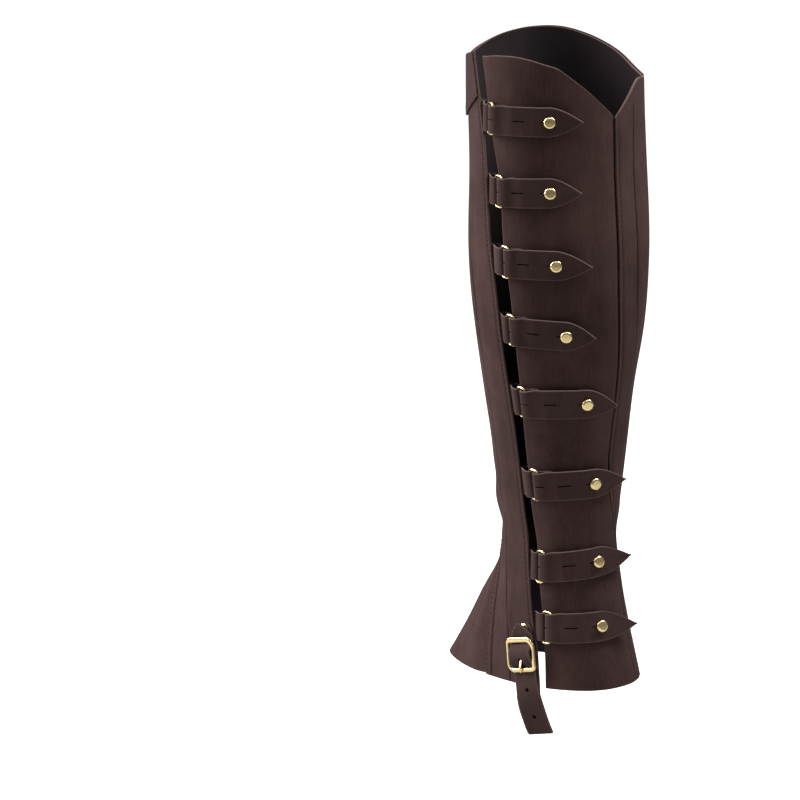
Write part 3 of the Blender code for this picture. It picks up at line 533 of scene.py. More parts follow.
low_heights = np.array(
    INSETS + [2.5] + list(np.arange(5, 88.1, 2.6)) + [90.5, 92.5, 94.2, 95.6, 96.8, 97.8, 98.5]
)
above_notch = np.array([0.0, 0.1, 0.25, 0.45, 1.0, 2.2, 4.0])
below_rim = np.array([5.5, 3.0, 1.0, 0.45, 0.25, 0.1, 0.0])
high_steps = 126


def rising(low, top, foot, head, steps):
    """Heights from low to each column's top, with close rows at both ends."""
    shares = np.arange(1, steps) / steps
    start, end = low + foot[-1], top - head[0]
    return np.concatenate([
        low + foot[:, None] + 0 * top[None, :],
        start + (end - start)[None, :] * shares[:, None],
        top[None, :] - head[:, None],
    ])


main_places, main_quads, blocks = [], [], {}
start = 0
for side in (1, -1):
    ways, middle = side_columns[side]
    across = len(ways) + middle + len(front_ways)
    tops = rim_at(main_columns(np.full((1, across), RIM_MIDDLE), side)[0])
    low_part = np.tile(low_heights[:, None], (1, across))
    heights = np.concatenate([low_part, rising(NOTCH_TOP, tops, above_notch, below_rim, high_steps)])
    angles = main_columns(heights, side)
    block = ids(start, *heights.shape)
    start += heights.size
    main_places.append(np.stack([angles.ravel(), heights.ravel()], -1))
    if side < 0:
        block[len(low_heights):, -1] = blocks[1][len(low_heights):, -1]
    blocks[side] = block
    main_quads.append(cells(block)[:, ::side])
main_places = np.concatenate(main_places)
angle, height = main_places.T
main_points = surface(angle, height)
notch_way = near(main_points, notch_line)
strap_way, back_way = (np.full(blocks[side].shape, FAR_OFF) for side in (1, -1))
strap_way[:, :len(strap_ways)] = strap_ways
back_way[:, :len(back_ways)] = back_ways
edge_way = np.concatenate([strap_way.ravel(), back_way.ravel()])
line_way = np.concatenate([strap_way.ravel() - FRONT_LINE, back_way.ravel() - BACK_LINE])
edge_press = bell(edge_way, EDGE_ROW, 0.6)
band_cover, band_fade = np.where(angle < BAND_END, [[9], [3]], [[30], [14]])
uncovered = smooth_step((rim_at(angle) - band_cover - height) / band_fade)
# Painted shade in the grooves of the front and back lines, the notch line and the edge row.
main_groove_shade = 0.95 * bell(line_way, 0, 0.7) * uncovered + 0.9 * bell(notch_way, NOTCH_LINE, 0.9)
main_groove_shade += 0.4 * edge_press
raw_edge = np.minimum(np.minimum(edge_way, rim_at(angle) - height), height)
calm = smooth_step(edge_way / 14.0) * 0.8 + 0.2
notch_relief = 0.35 * bell(notch_way, 4.5, 2.0) - 0.4 * bell(notch_way, NOTCH_LINE, 0.9)
main_relief = (bumps(MAIN_FOLDS, angle, height) + slack(angle, height)) * calm + pressed_line(line_way)
main_relief = (main_relief + notch_relief - 0.2 * edge_press) * smooth_step((rim_at(angle) + 4 - height) / 60)
main_normals = outward(angle, height)
main_panel = wall(
    "main_panel_leather", main_points + main_normals * (main_relief - LEATHER / 2)[:, None], main_normals,
    np.concatenate(main_quads), LEATHER, [nubuck, flesh_side_with_shade], raw_edge, np.clip(main_groove_shade, 0, 1),
)
main_rows = [
    (sewn_up(3, 418, lambda h: walk(strap_edge_at(h), h, -EDGE_ROW)), PITCH),
    (sewn_up(3, 402, lambda h: walk(strap_edge_at(h), h, -FRONT_LINE)), PITCH),
    (sewn_up(3, 410, lambda h: walk(back_seam_at(h) - 360, h, BACK_LINE)), PITCH),
    (sewn_up(3, 402, lambda h: walk(back_seam_at(h) - 360, h, EDGE_ROW)), PITCH),
]
for side in (1, -1):
    for way in (NOTCH_ROW, NOTCH_LINE):
        main_rows.append((sewn_up(2, 98, lambda h: walk(side * notch_at(h), h, side * way)), PITCH))
    notch = float(notch_at(HEM_ROW))
    hem_row = sewn_round(side * (notch + 13), side * (notch + 42), lambda a: HEM_ROW + 0 * a)
    main_rows.append((hem_row, HEM_PITCH))
main_sewing = stitched("main_panel_sewing", main_panel, "main_panel", "nubuck_leather", main_rows)
ready(main_panel, "main_panel", "nubuck_leather", flat=(0.355, 0.455), area=0.105, held="hung",
      with_pieces=[main_sewing])

# The top band: a strip of smoother, darker leather laid over the main panel along the rim and sewn
# down, from the strap edge round the front to the inner side.
BAND = columns("angle depth", [
    (-125, 40), (-60, 42), (0, 43), (30, 43), (50, 41), (60, 38), (70, 34), (78, 30), (90, 28),
])
BAND_LEATHER = 1.4

band_finish = leather(
    "band_leather", (0.022, 0.0120, 0.0120), (0.056, 0.030, 0.029), (0.09, 0.058, 0.053), 0.7, 0.01, 0.07,
)
band_depth_at = curve(BAND, "angle", "depth")
band_ways = np.array(INSETS + [2.5, 5.0])
band_middle = 100


def band_columns(height):
    n = len(band_ways)
    grid = np.zeros(height.shape)
    grid[:, :n] = walk(strap_edge_at(height)[:, :n], height[:, :n], -band_ways)
    grid[:, -n:] = BAND_END + band_ways[::-1] / degree(BAND_END, height[:, -n:])
    fill_even(grid, n, n)
    return grid


band_across = 2 * len(band_ways) + band_middle
top_angles = band_columns(np.full((1, band_across), RIM_MIDDLE))[0]
tops, band_depth = rim_at(top_angles), band_depth_at(top_angles)
insets = np.array(INSETS + [2.5])
shares = np.linspace(0, 1, 12)[1:-1]
heights = np.concatenate([
    tops - band_depth + insets[:, None],
    tops - band_depth + 2.5 + shares[:, None] * (band_depth - 5),
    tops - insets[::-1, None],
])
angles = band_columns(heights)
angle, height = angles.ravel(), heights.ravel()
normals = outward(angle, height)
above_edge = (heights - heights[:1]).ravel()
swell = 0.25 * bell(above_edge, 4.2, 2.6)
points = surface(angle, height) + normals * (SEAM_GAP + BAND_LEATHER / 2 + swell)[:, None]
quads = cells(ids(0, *heights.shape))
top_band = wall("top_band_leather", points, normals, quads, BAND_LEATHER, [band_finish, flesh_side_with_shade])
band_sewing = stitched("top_band_sewing", top_band, "top_band", "band_leather", [
    (sewn_round(82, BAND_END + 3, lambda a: rim_at(a) - band_depth_at(a) + EDGE_ROW), PITCH),
    (sewn_round(76, BAND_END + 3, lambda a: rim_at(a) - EDGE_ROW), PITCH),
])
ready(top_band, "top_band", "band_leather", flat=(0.24, 0.044), area=0.0085, held="laid",
      rests_on=["main_panel_leather"], with_pieces=[band_sewing])

# The button panel: the back-and-outer piece of the same leather that carries the studs. Its free edge
# stands a little behind the strap edge, and its other edge goes down under the main panel's back seam.
LAP_DEPTH = 2.8
BACK_SLOPE = 2.6
BACK_MARGIN = 12.0
LAP_CLEAR = 0.5
CORNER_DROP = 2.5

BUTTON_FOLDS = columns("angle height to_angle to_height bow width depth", [
    (134, 20, 137, 140, 2, 6, -0.8), (150, 60, 147, 220, -2, 6, -0.7), (162, 30, 166, 180, 2, 5, -0.8),
    (140, 150, 150, 330, -3, 8, -0.9), (158, 190, 156, 360, 3, 6, -0.6), (128, 210, 132, 380, 2, 6, -0.6),
    (168, 220, 166, 390, -2, 5, -0.5), (125, 60, 175, 72, 2, 6, -0.5), (122, 112, 172, 118, -3, 7, -0.6),
    (120, 174, 170, 181, 2, 8, -0.6), (118, 232, 168, 228, -2, 8, -0.5), (116, 284, 166, 288, 2, 8, -0.5),
])
button_ways = np.array(INSETS + [2.5, 5.0])
button_middle = 34
button_far = np.linspace(0, BACK_SLOPE, 7)[1:]
button_far = np.concatenate([button_far, BACK_SLOPE + np.linspace(0, BACK_MARGIN, 5)[1:]])


def slope_start(height):
    return back_seam_at(height) - BACK_SLOPE - LAP_CLEAR


def button_columns(height):
    n, far = len(button_ways), len(button_far)
    grid = np.zeros(height.shape)
    grid[:, :n] = walk(button_edge_at(height[:, :n]), height[:, :n], button_ways)
    grid[:, -far:] = slope_start(height[:, -far:]) + button_far
    shares, start = np.arange(1, button_middle + 1) / button_middle, grid[:, n - 1:n]
    grid[:, n:-far] = start + (slope_start(height[:, n:-far]) - start) * shares
    return grid


button_across = len(button_ways) + button_middle + len(button_far)
top_angles = button_columns(np.full((1, button_across), RIM_MIDDLE))[0]
tops = rim_at(top_angles) - CORNER_DROP * (1 - smooth_step((top_angles - 90) / 14))
heights = rising(0.0, tops, np.array(INSETS + [2.5, 5.5]), below_rim, 150)
angle, height = button_columns(heights).ravel(), heights.ravel()
normals = outward(angle, height)
lap = LAP_DEPTH * smooth_step((angle - slope_start(height)) / BACK_SLOPE)
button_relief = np.minimum(bumps(BUTTON_FOLDS, angle, height) + slack(angle, height) - 0.3, 0.25)
button_relief = button_relief * smooth_step((slope_start(height) - angle + 6) / 12)
points = surface(angle, height) + normals * (button_relief - lap - LEATHER / 2)[:, None]
quads = cells(ids(0, *heights.shape))
button_panel = wall("button_panel_leather", points, normals, quads, LEATHER, [nubuck, flesh_side_with_shade])
ready(button_panel, "button_panel", "nubuck_leather", flat=(0.105, 0.452), area=0.035, held="hung",
      rests_on=["main_panel_leather"])

# The toe flare: a pointed gusset of the same leather, sewn under the notch all round, that spreads
# over the foot.
FLARE_TOP = 107.0
FLARE_SLOPE = 7.0
LEAST_FLAT = 1.5
ROW_SHIFT = 5.0

FLARE_FOLDS = columns("angle height to_angle to_height bow width depth", [
    (0, 6, 1, 90, 1, 6, 1), (30, 0, 16, 74, 2, 5, 0.8), (-32, 2, -18, 70, -2, 5, 0.8),
    (46, 0, 40, 56, 1.5, 4, -0.8), (-48, 4, -41, 60, -1.5, 4, -0.8), (14, 4, 8, 52, 1, 5, -0.7),
    (-15, 0, -9, 60, -1, 5, -0.7), (58, 0, 52, 44, 1, 3, 0.6), (-58, 2, -53, 46, -1, 3, 0.6),
])
low_rows = np.array(INSETS + [2.5] + list(np.arange(5, 92, 2.6)) + [93, 95, 97, 99, 101, 103, 105, FLARE_TOP])
half_middle = 30
flat_end = np.maximum(notch_at(low_rows) - FLARE_SLOPE, LEAST_FLAT)
edge = flare_edge_at(low_rows)
under = np.maximum(notch_at(low_rows) + 0.3, flat_end + 2.4)
slope = np.maximum(notch_at(low_rows) - 3.0, flat_end + 1.0)
half = np.concatenate([
    np.stack([edge, (edge + under) / 2, under, (under + slope) / 2, slope], -1),
    flat_end[:, None] * (1 - np.arange(half_middle + 1) / half_middle),
], 1)
angles = np.concatenate([-half, half[:, -2::-1]], 1)
heights = np.tile(low_rows[:, None], (1, angles.shape[1]))
angle, height = angles.ravel(), heights.ravel()
normals = outward(angle, height)
lap_start = notch_at(height + ROW_SHIFT) - FLARE_SLOPE
lap = LAP_DEPTH * smooth_step((np.abs(angle) - lap_start) / (FLARE_SLOPE - 4 * LAP_CLEAR))
flare_relief = bumps(FLARE_FOLDS, angle, height) * smooth_step((lap_start - np.abs(angle) + 2) / 8)
points = surface(angle, height) + normals * (flare_relief - lap - LEATHER / 2)[:, None]
quads = cells(ids(0, *heights.shape))
toe_flare = wall("toe_flare_leather", points, normals, quads, LEATHER, [nubuck, flesh_side_with_shade])
flare_sewing = stitched("toe_flare_sewing", toe_flare, "toe_flare", "nubuck_leather", [
    (sewn_round(4 - notch, notch - 4, lambda a: HEM_ROW + 0 * a), HEM_PITCH),
])
ready(toe_flare, "toe_flare", "nubuck_leather", flat=(0.235, 0.108), area=0.0132, held="hung",
      rests_on=["main_panel_leather"], with_pieces=[flare_sewing])

# The eight fastenings' leather: at the strap edge a short folded tab is sewn under the panel, and each
# pointed strap is folded back on itself round a ring. They are cut from thinner leather, the straps
# with three slits about 20 mm apart, the last of them a keyhole over the stud.
RING_WIDTH = 8.0
RING_WIRE = 1.8
FOLD_ROOM = 0.55
FOLD_SLACK = 0.7
FOLD_WIDTH = 19.6
FOLD_GROWTH = 6.0
STRAP_WIDTH = 21.0
STRAP_LEATHER = 1.8
STRAP_GAP = 0.55
STRAP_LIFT = 2.5
TAIL_LENGTH = 8.5
STUD_ROOM = 4.5
TIP_POWER = 1.7
TIP_LIFT = 1.15
TIP_CURVE = 55.0
TAB_LEATHER = 1.4
TAB_LENGTH = 14.0
TAB_BAR_LIFT = 0.6
FIRST_SLIT = 5.0
SECOND_SLIT = 8.2
KEYHOLE_START = 6.3
KEYHOLE_RADIUS = 2.0
ROWS = range(8)

FASTENINGS = columns("ring stud reach run tip droop second first", [
    (408.4, 408.4, 55.7, 39.1, 21.6, 0, 20.8, -0.6), (357.4, 358.1, 50, 32.8, 20.4, 0.9, 22, -2.9),
    (307.8, 307, 50.4, 32.3, 23.2, 0.3, 22, -2.9), (259, 256.4, 50.6, 34.6, 19.2, 0, 22, -2.9),
    (206.3, 206.2, 57.5, 40.9, 20.6, 2.1, 24.5, -0.6), (145.4, 146.6, 55.7, 37.4, 23.5, 0.3, 20.3, 1.3),
    (85.5, 89.7, 52.3, 36, 27, 3.8, 18.9, -2.9), (43.2, 44.6, 50.1, 33.7, 27.6, 4.6, 19.9, -2.9),
])
STRAP_RUN = [
    (2.5, 5.80), (5.5, 4.45), (8.5, 3.80), (13.0, 3.55), (18.0, 2.90), (24.0, STRAP_LIFT), (30.0, STRAP_LIFT),
]
TIP_SHARES = [0.1, 0.2, 0.3, 0.4, 0.5, 0.6, 0.7, 0.79, 0.87, 0.94, 1.0]

strap_finish = leather(
    "strap_leather", (0.026, 0.0150, 0.0145), (0.060, 0.034, 0.031), (0.13, 0.088, 0.080), 0.75, 0.015, 0.10,
)


def arc(centre, radius, start, end, steps):
    """Points of a round fold in the plane of way and lift, angles in degrees."""
    turns = np.radians(np.linspace(start, end, steps + 1))
    return [(centre[0] + radius * math.cos(t), centre[1] + radius * math.sin(t)) for t in turns]


def smooth_line(points):
    """A smooth line through points, read close together: how far along it, then its coordinates."""
    points = np.array(points, float)
    chord = np.concatenate([[0], np.cumsum(np.linalg.norm(np.diff(points[:, :2], axis=0), axis=1))])
    fine = np.linspace(0, chord[-1], int(chord[-1] / 0.2))
    read = [curve({"chord": chord, "value": column}, "chord", "value")(fine) for column in points.T]
    far = np.concatenate([[0], np.cumsum(np.hypot(np.diff(read[0]), np.diff(read[1])))])
    return [far] + read


def reached(line, way):
    """How far along a folded line its run after the fold comes to a given way."""
    fold = int(np.argmin(line[1]))
    return float(np.interp(way, line[1][fold:], line[0][fold:]))


def belt(name, line, width, thickness, where, cuts, finishes):
    """A leather strip along a line of way, lift and share of its width. Each cut runs from one place
    along it to another, with a half width, and may have a round end about a centre."""
    total = line[0][-1]
    marks = [0.0, total] + [place for cut in cuts for place in cut[:2]]
    close = np.unique([mark + inset * side for mark in marks for side in (1, -1) for inset in INSETS[:4]])
    close = close[(close >= 0) & (close <= total)]
    plain = np.arange(0.9, total - 0.6, 1.3)
    plain = plain[np.abs(plain[:, None] - close[None, :]).min(1) > 0.35]
    far = np.sort(np.concatenate([close, plain]))
    before, after = (
        np.stack([np.interp(np.clip(far + step, 0, total), line[0], column) for column in line[1:3]], -1)
        for step in (-0.15, 0.15)
    )
    tangent = unit(after - before)
    way, lift, share = (np.interp(far, line[0], column) for column in line[1:])
    half = width / 2 * share
    slot = np.full(len(far), 0.5)
    for start, end, cut_half, centre, radius in cuts:
        inside = (far > start - 0.01) & (far < end + 0.01)
        rounded = np.sqrt(np.clip(radius**2 - (far - centre) ** 2, 0.02, None))
        slot = np.where(inside, np.maximum(cut_half, rounded), slot)
    slot = np.minimum(slot, half * 0.3)
    insets = np.array(INSETS) * np.clip((half - slot) / 4, 0.01, 1)[:, None]
    low, high = slot[:, None] + insets, half[:, None] - insets[:, ::-1]
    between = low[:, -1:] + (high[:, :1] - low[:, -1:]) * (np.arange(1, 5) / 5)
    side = np.concatenate([low, between, high], 1)
    across = np.concatenate([-side[:, ::-1], side], 1)
    mid = (far[1:] + far[:-1]) / 2
    open_row = np.zeros(len(mid), bool)
    for cut in cuts:
        open_row |= (mid > cut[0]) & (mid < cut[1])
    keep = np.ones((len(far) - 1, across.shape[1] - 1), bool)
    keep[open_row, side.shape[1] - 1] = False
    ways, lifts, dw, dl, halves = (
        np.repeat(column, across.shape[1]) for column in (way, lift, -tangent[:, 1], tangent[:, 0], half)
    )
    sides = across.ravel()
    above = where(ways + 0.2 * dw, sides, lifts + 0.2 * dl)
    normals = unit(above - where(ways - 0.2 * dw, sides, lifts - 0.2 * dl))
    quads = cells(ids(0, *across.shape))[keep.ravel()]
    return wall(name, where(ways, sides, lifts), normals, quads, thickness, finishes, halves - np.abs(sides))


def slit(middle, length, width=0.8):
    return middle - length / 2, middle + length / 2, width / 2, middle, 0.0


def punched(middle, radius):
    return middle - radius, middle + radius, 0.1, middle, radius


def fastening_places(row):
    """Where a strap lies: its ring's bar, its stud, and its points from way, side and lift."""
    ring, stud, reach, run, tip, droop = (
        FASTENINGS[name][row] for name in ("ring", "stud", "reach", "run", "tip", "droop")
    )
    bar, edge = reach - run, float(strap_edge_at(ring))

    def where(way, side, lift):
        height = ring + (stud - ring) * np.clip(way - bar, 0, None) / run
        height = height - droop * (np.clip(way - reach, 0, None) / tip) ** 1.5
        return skin(walk(edge, height, way), height + side, lift)

    return bar, reach, where


tail_lift = STRAP_GAP + STRAP_LEATHER / 2
strap_bar_lift = STRAP_GAP + STRAP_LEATHER + FOLD_ROOM + RING_WIRE / 2
strap_fold = RING_WIRE / 2 + FOLD_ROOM + STRAP_LEATHER / 2
tab_fold = RING_WIRE / 2 + FOLD_ROOM + TAB_LEATHER / 2

for row in ROWS:
    bar, stud_way, where = fastening_places(row)
    tip = FASTENINGS["tip"][row]
    path = [(bar + TAIL_LENGTH, tail_lift), (bar + TAIL_LENGTH / 2, tail_lift)]
    path += arc((bar - FOLD_SLACK, strap_bar_lift), strap_fold, 270, 90, 7)
    path += [(bar + way, lift) for way, lift in STRAP_RUN if bar + way < stud_way - STUD_ROOM - 2]
    path += [(stud_way - STUD_ROOM, STRAP_LIFT), (stud_way, STRAP_LIFT)]
    for past in np.array(TIP_SHARES) * tip:
        path.append((stud_way + past, STRAP_LIFT + TIP_LIFT * past**2 / (2 * TIP_CURVE)))
    rows = []
    for way, lift in path:
        grown = FOLD_WIDTH + (STRAP_WIDTH - FOLD_WIDTH) * smooth_step((way - bar) / FOLD_GROWTH)
        point = min(max((way - stud_way) / tip, 0.0), 1.0)
        rows.append((way, lift, max(grown / STRAP_WIDTH * (1 - point**TIP_POWER), 0.04)))
    line = smooth_line(rows)
    stud_at = reached(line, stud_way)
    cuts = [
        slit(reached(line, bar + FASTENINGS["first"][row]), FIRST_SLIT),
        slit(stud_at - FASTENINGS["second"][row], SECOND_SLIT),
        (stud_at - KEYHOLE_START, stud_at + KEYHOLE_RADIUS, 0.4, stud_at, KEYHOLE_RADIUS),
    ]
    name = f"strap_{row + 1}"
    strap = belt(f"{name}_leather", line, STRAP_WIDTH, STRAP_LEATHER, where, cuts, [strap_finish, flesh_side_with_shade])
    length = round(float(line[0][-1]), 1)
    area = STRAP_WIDTH * (length - 0.37 * float(tip)) * MM**2
    ready(strap, name, "strap_leather", flat=(STRAP_WIDTH * MM, length * MM), area=area, held="folded",
          rests_on=["button_panel_leather"])

    tab_bar = bar - RING_WIDTH
    upper = -LEATHER - SEAM_GAP - TAB_LEATHER / 2
    lower = upper - TAB_LEATHER - SEAM_GAP
    bend = tab_bar + FOLD_SLACK
    path = [(-TAB_LENGTH, upper), (-TAB_LENGTH / 2, upper), (-1.5, upper), (0.2, upper + 0.1)]
    path += [(1.8, upper + 1.2), (0.45 * tab_bar, upper + 2.9), (0.75 * tab_bar, TAB_BAR_LIFT + 1.6)]
    path += arc((bend, TAB_BAR_LIFT), tab_fold, 97, -58, 7)
    path += [(bend - 1.0, lower + 0.7), (bend - 2.6, lower), (-TAB_LENGTH / 2, lower), (-TAB_LENGTH, lower)]
    ring_height = FASTENINGS["ring"][row]
    edge = float(strap_edge_at(ring_height))

    def level(way, side, lift):
        return skin(walk(edge, ring_height + 0 * way, way), ring_height + side, lift)

    name = f"strap_tab_{row + 1}"
    line = smooth_line([(way, lift, 1.0) for way, lift in path])
    tab = belt(f"{name}_leather", line, FOLD_WIDTH, TAB_LEATHER, level, [], [strap_finish, flesh_side_with_shade])
    length = round(float(line[0][-1]), 1)
    ready(tab, name, "strap_leather", flat=(FOLD_WIDTH * MM, length * MM), held="folded",
          rests_on=["main_panel_leather"])

# The rings: round brass wire bent into an oblong with round corners and closed, one long side in its
# tab and the other in its strap. The first one is copied for each of the eight rows.
RING_HALF_HEIGHT = 11.0
RING_CORNER = 2.5

brass = plain_material("brass", (0.88, 0.69, 0.34), 0.22, 1.0)[0]


def pick(item, test):
    """Goes into edit mode with just those corners of a piece that pass a test."""
    bpy.ops.object.mode_set(mode="OBJECT")
    for corner in item.data.vertices:
        corner.select = bool(test(corner.co))
    for edge in item.data.edges:
        edge.select = all(item.data.vertices[i].select for i in edge.vertices)
    for face in item.data.polygons:
        face.select = all(item.data.vertices[i].select for i in face.vertices)
    bpy.ops.object.mode_set(mode="EDIT")


def shift(item, test, move):
    """Moves those corners of a piece that pass a test, by millimetres, and stays in edit mode."""
    pick(item, test)
    bpy.ops.transform.translate(value=[part * MM for part in move])


def settle(item, name, smooth):
    """Leaves edit mode and finishes a hard piece: faces outward, smooth but for its sharp corners."""
    bpy.ops.object.mode_set(mode="EDIT")
    bpy.ops.mesh.select_all(action="SELECT")
    bpy.ops.mesh.normals_make_consistent(inside=False)
    bpy.ops.object.mode_set(mode="OBJECT")
    bpy.ops.object.shade_smooth_by_angle(angle=math.radians(smooth))
    item.name = name
    item.data.name = name
    item.data.materials.append(brass)


def set_at(item, origin, along, upward, out):
    """Puts a piece made at the origin where it belongs, with its own sides turned to three directions."""
    matrix = Matrix.Identity(4)
    for column, direction in enumerate((along, upward, out)):
        for i in range(3):
            matrix[i][column] = direction[i]
    for i in range(3):
        matrix[i][3] = (origin[i] - (HOLD_HEIGHT if i == 2 else 0.0)) * MM
    item.data.transform(matrix)


def copy_of(item, name):
    made = put(name, item.data.copy())
    made.data.name = name
    return made


bpy.ops.object.select_all(action="DESELECT")
bpy.ops.mesh.primitive_torus_add(
    major_radius=RING_CORNER * MM, minor_radius=RING_WIRE / 2 * MM, major_segments=40, minor_segments=14,
)
ring = bpy.context.object
for side in (1, -1):
    shift(ring, lambda corner: corner.y * side > 1e-6, (0, side * (RING_HALF_HEIGHT - RING_CORNER), 0))
    shift(ring, lambda corner: corner.x * side > 1e-6, (side * (RING_WIDTH / 2 - RING_CORNER), 0, 0))
settle(ring, "ring", 80.0)

for row in ROWS:
    bar, stud_way, where = fastening_places(row)
    low, high = where(bar - RING_WIDTH, 0.0, TAB_BAR_LIFT), where(bar, 0.0, strap_bar_lift)
    lean = where(bar - RING_WIDTH / 2, 5.0, STRAP_LIFT) - where(bar - RING_WIDTH / 2, -5.0, STRAP_LIFT)
    along = unit(high - low)
    upward = unit(lean - along * np.dot(lean, along))
    placed = copy_of(ring, f"ring_{row + 1}_wire")
    set_at(placed, (low + high) / 2, along, upward, np.cross(along, upward))
    ready(placed, f"ring_{row + 1}", "brass")
bpy.data.objects.remove(ring)

# The studs: turned brass buttons with a base disc, a neck through the strap's keyhole and a low head
# with a flat top.
STUD_SIDES = 40
STUD_STEPS = [
    (5.4, 0.3), (5.4, 0.65), (5.2, 0.9), (1.6, 0.95), (1.6, 3.65), (3.5, 3.7), (4.1, 3.9), (4.32, 4.25),
    (4.35, 4.7), (4.25, 5.1), (3.95, 5.55), (3.5, 5.9), (3, 6.1), (2.5, 6.2), (2.35, 6.18), (1.2, 6.3),
    (0.5, 6.34),
]


def raise_steps(sides, steps):
    """A turned piece: a disc pushed up and drawn in or out, step by step, about the upright axis."""
    bpy.ops.object.select_all(action="DESELECT")
    radius, height = steps[0]
    bpy.ops.mesh.primitive_circle_add(
        vertices=sides, radius=radius * MM, fill_type="NGON", location=(0, 0, height * MM),
    )
    made = bpy.context.object
    bpy.ops.object.transform_apply(location=True, rotation=False, scale=False)
    bpy.ops.object.mode_set(mode="EDIT")
    bpy.ops.mesh.select_all(action="SELECT")
    for next_radius, next_height in steps[1:]:
        rise, ratio = (next_height - height) * MM, next_radius / radius
        bpy.ops.mesh.extrude_region_move(TRANSFORM_OT_translate={"value": (0, 0, rise)})
        bpy.ops.transform.resize(value=(ratio, ratio, 1), center_override=(0, 0, next_height * MM))
        radius, height = next_radius, next_height
    return made


stud = raise_steps(STUD_SIDES, STUD_STEPS)
settle(stud, "stud", 50.0)
for row in ROWS:
    bar, way, where = fastening_places(row)
    along = unit(where(way + 1, 0.0, 0.0) - where(way - 1, 0.0, 0.0))
    upward = unit(where(way, 1.0, 0.0) - where(way, -1.0, 0.0))
    out = unit(np.cross(along, upward))
    placed = copy_of(stud, f"stud_{row + 1}_button")
    set_at(placed, where(way, 0.0, 0.0), along, np.cross(out, along), out)
    ready(placed, f"stud_{row + 1}", "brass")
bpy.data.objects.remove(stud)

# The foot strap: one long strap doubled under the hem, its point passed up through the buckle. Its
# inner end is sewn inside the hem. Round holes are punched down its middle.
BUCKLE_ANGLE = 100.0
BUCKLE_HEIGHT = 22.0
BUCKLE_TILT = math.radians(10.0)
FOOT_STRAP_WIDTH = 19.4
FOOT_STRAP_LEATHER = 2.0
HOLE_RADIUS = 1.5
FOOT_STRAP_TWIST = math.radians(14.0)
INNER_SHIFT = 3.0
FOOT_STRAP_OUTSIDE = [
    (22.3, 6, 0.08), (20.6, 5.9, 0.3), (18.5, 5.5, 0.56), (16, 4.7, 0.8), (14.2, 3.7, 0.93), (12.6, 3, 1),
    (10.6, 2.8, 1), (8.8, 3.1, 1), (7, 4.3, 1), (5, 6, 1), (3, 7.3, 1), (0, 7.9, 1), (-3, 7.3, 1),
    (-5, 6, 1), (-7, 4.3, 1), (-8.8, 3.1, 1), (-10.6, 2.8, 1), (-15, 2.5, 1), (-20, 2.1, 1), (-25, 1.6, 1),
    (-31, 0.6, 1), (-38, -1.3, 1), (-46.5, -4.4, 1), (-55, -8.1, 1),
]
FOOT_STRAP_INSIDE = [
    (-48, -8.5, 1), (-40, -5, 1), (-32, -3, 1), (-25, -3.5, 1), (-19, -3.8, 1), (-9, -3.8, 1),
]

buckle_origin = skin(BUCKLE_ANGLE, BUCKLE_HEIGHT)
buckle_out = outward(BUCKLE_ANGLE, BUCKLE_HEIGHT)
level_way = unit(surface(BUCKLE_ANGLE + 2, BUCKLE_HEIGHT) - surface(BUCKLE_ANGLE - 2, BUCKLE_HEIGHT))
steep_way = unit(np.cross(buckle_out, level_way))
buckle_up = math.cos(BUCKLE_TILT) * steep_way - math.sin(BUCKLE_TILT) * level_way
buckle_along = unit(np.cross(buckle_up, buckle_out))


def on_buckle(way, side, lift):
    way, side, lift = (np.asarray(value, float)[..., None] for value in (way, side, lift))
    return buckle_origin + buckle_up * way + buckle_along * side + buckle_out * lift


def twisted(way, side, lift):
    """The foot strap turns slowly toward the back below the hem, both layers together, and its inner
    layer lies a little further to the front than its outer one."""
    turned = FOOT_STRAP_TWIST * smooth_step((-14 - np.asarray(way, float)) / 26)
    middle = np.interp(way, *np.array(FOOT_STRAP_OUTSIDE[::-1])[:, :2].T) - 1.2
    rise = lift - middle
    side = side - INNER_SHIFT * smooth_step(-rise / 2.4)
    across = side * np.cos(turned) + rise * np.sin(turned)
    return on_buckle(way, across, middle + rise * np.cos(turned) - side * np.sin(turned))


loop = [(way, lift, 1.0) for way, lift in arc((-54.5, -9.6), 1.6, 293, 113, 10)[:-1]]
line = smooth_line(FOOT_STRAP_INSIDE[::-1] + loop + FOOT_STRAP_OUTSIDE[::-1])
low_cut, high_cut = reached(line, -9.2), reached(line, -2.4)
cuts = [
    punched(reached(line, -44.2), HOLE_RADIUS), punched(reached(line, -25.0), HOLE_RADIUS),
    (low_cut, high_cut, 1.3, low_cut, 0.0),
]
foot_strap = belt(
    "foot_strap_leather", line, FOOT_STRAP_WIDTH, FOOT_STRAP_LEATHER, twisted, cuts, [strap_finish, flesh_side_with_shade],
)
ready(foot_strap, "foot_strap", "strap_leather", flat=(0.0194, 0.132), area=0.00245, held="folded",
      rests_on=["main_panel_leather"])

# The buckle tab: a short leather loop riveted to the panel, folded round the buckle's middle bar, with
# a slot for the prong.
CHAPE_LEATHER = 1.2
CHAPE_WIDTH = 15.0
CENTRE_BAR = 1.8
CENTRE_BAR_LIFT = 3.9
CHAPE_FOLD = CENTRE_BAR / 2 + 0.35 + CHAPE_LEATHER / 2
CHAPE_BACK = [
    (22, 0.9, 0.35), (20.5, 0.9, 0.7), (18, 0.9, 0.94), (12, 0.9, 1), (6.5, 0.9, 1), (3.4, 1.3, 1),
]
CHAPE_FRONT = [(2.6, 5.1, 1.0), (4.2, 4.0, 1.0), (5.8, 2.9, 1.0)]

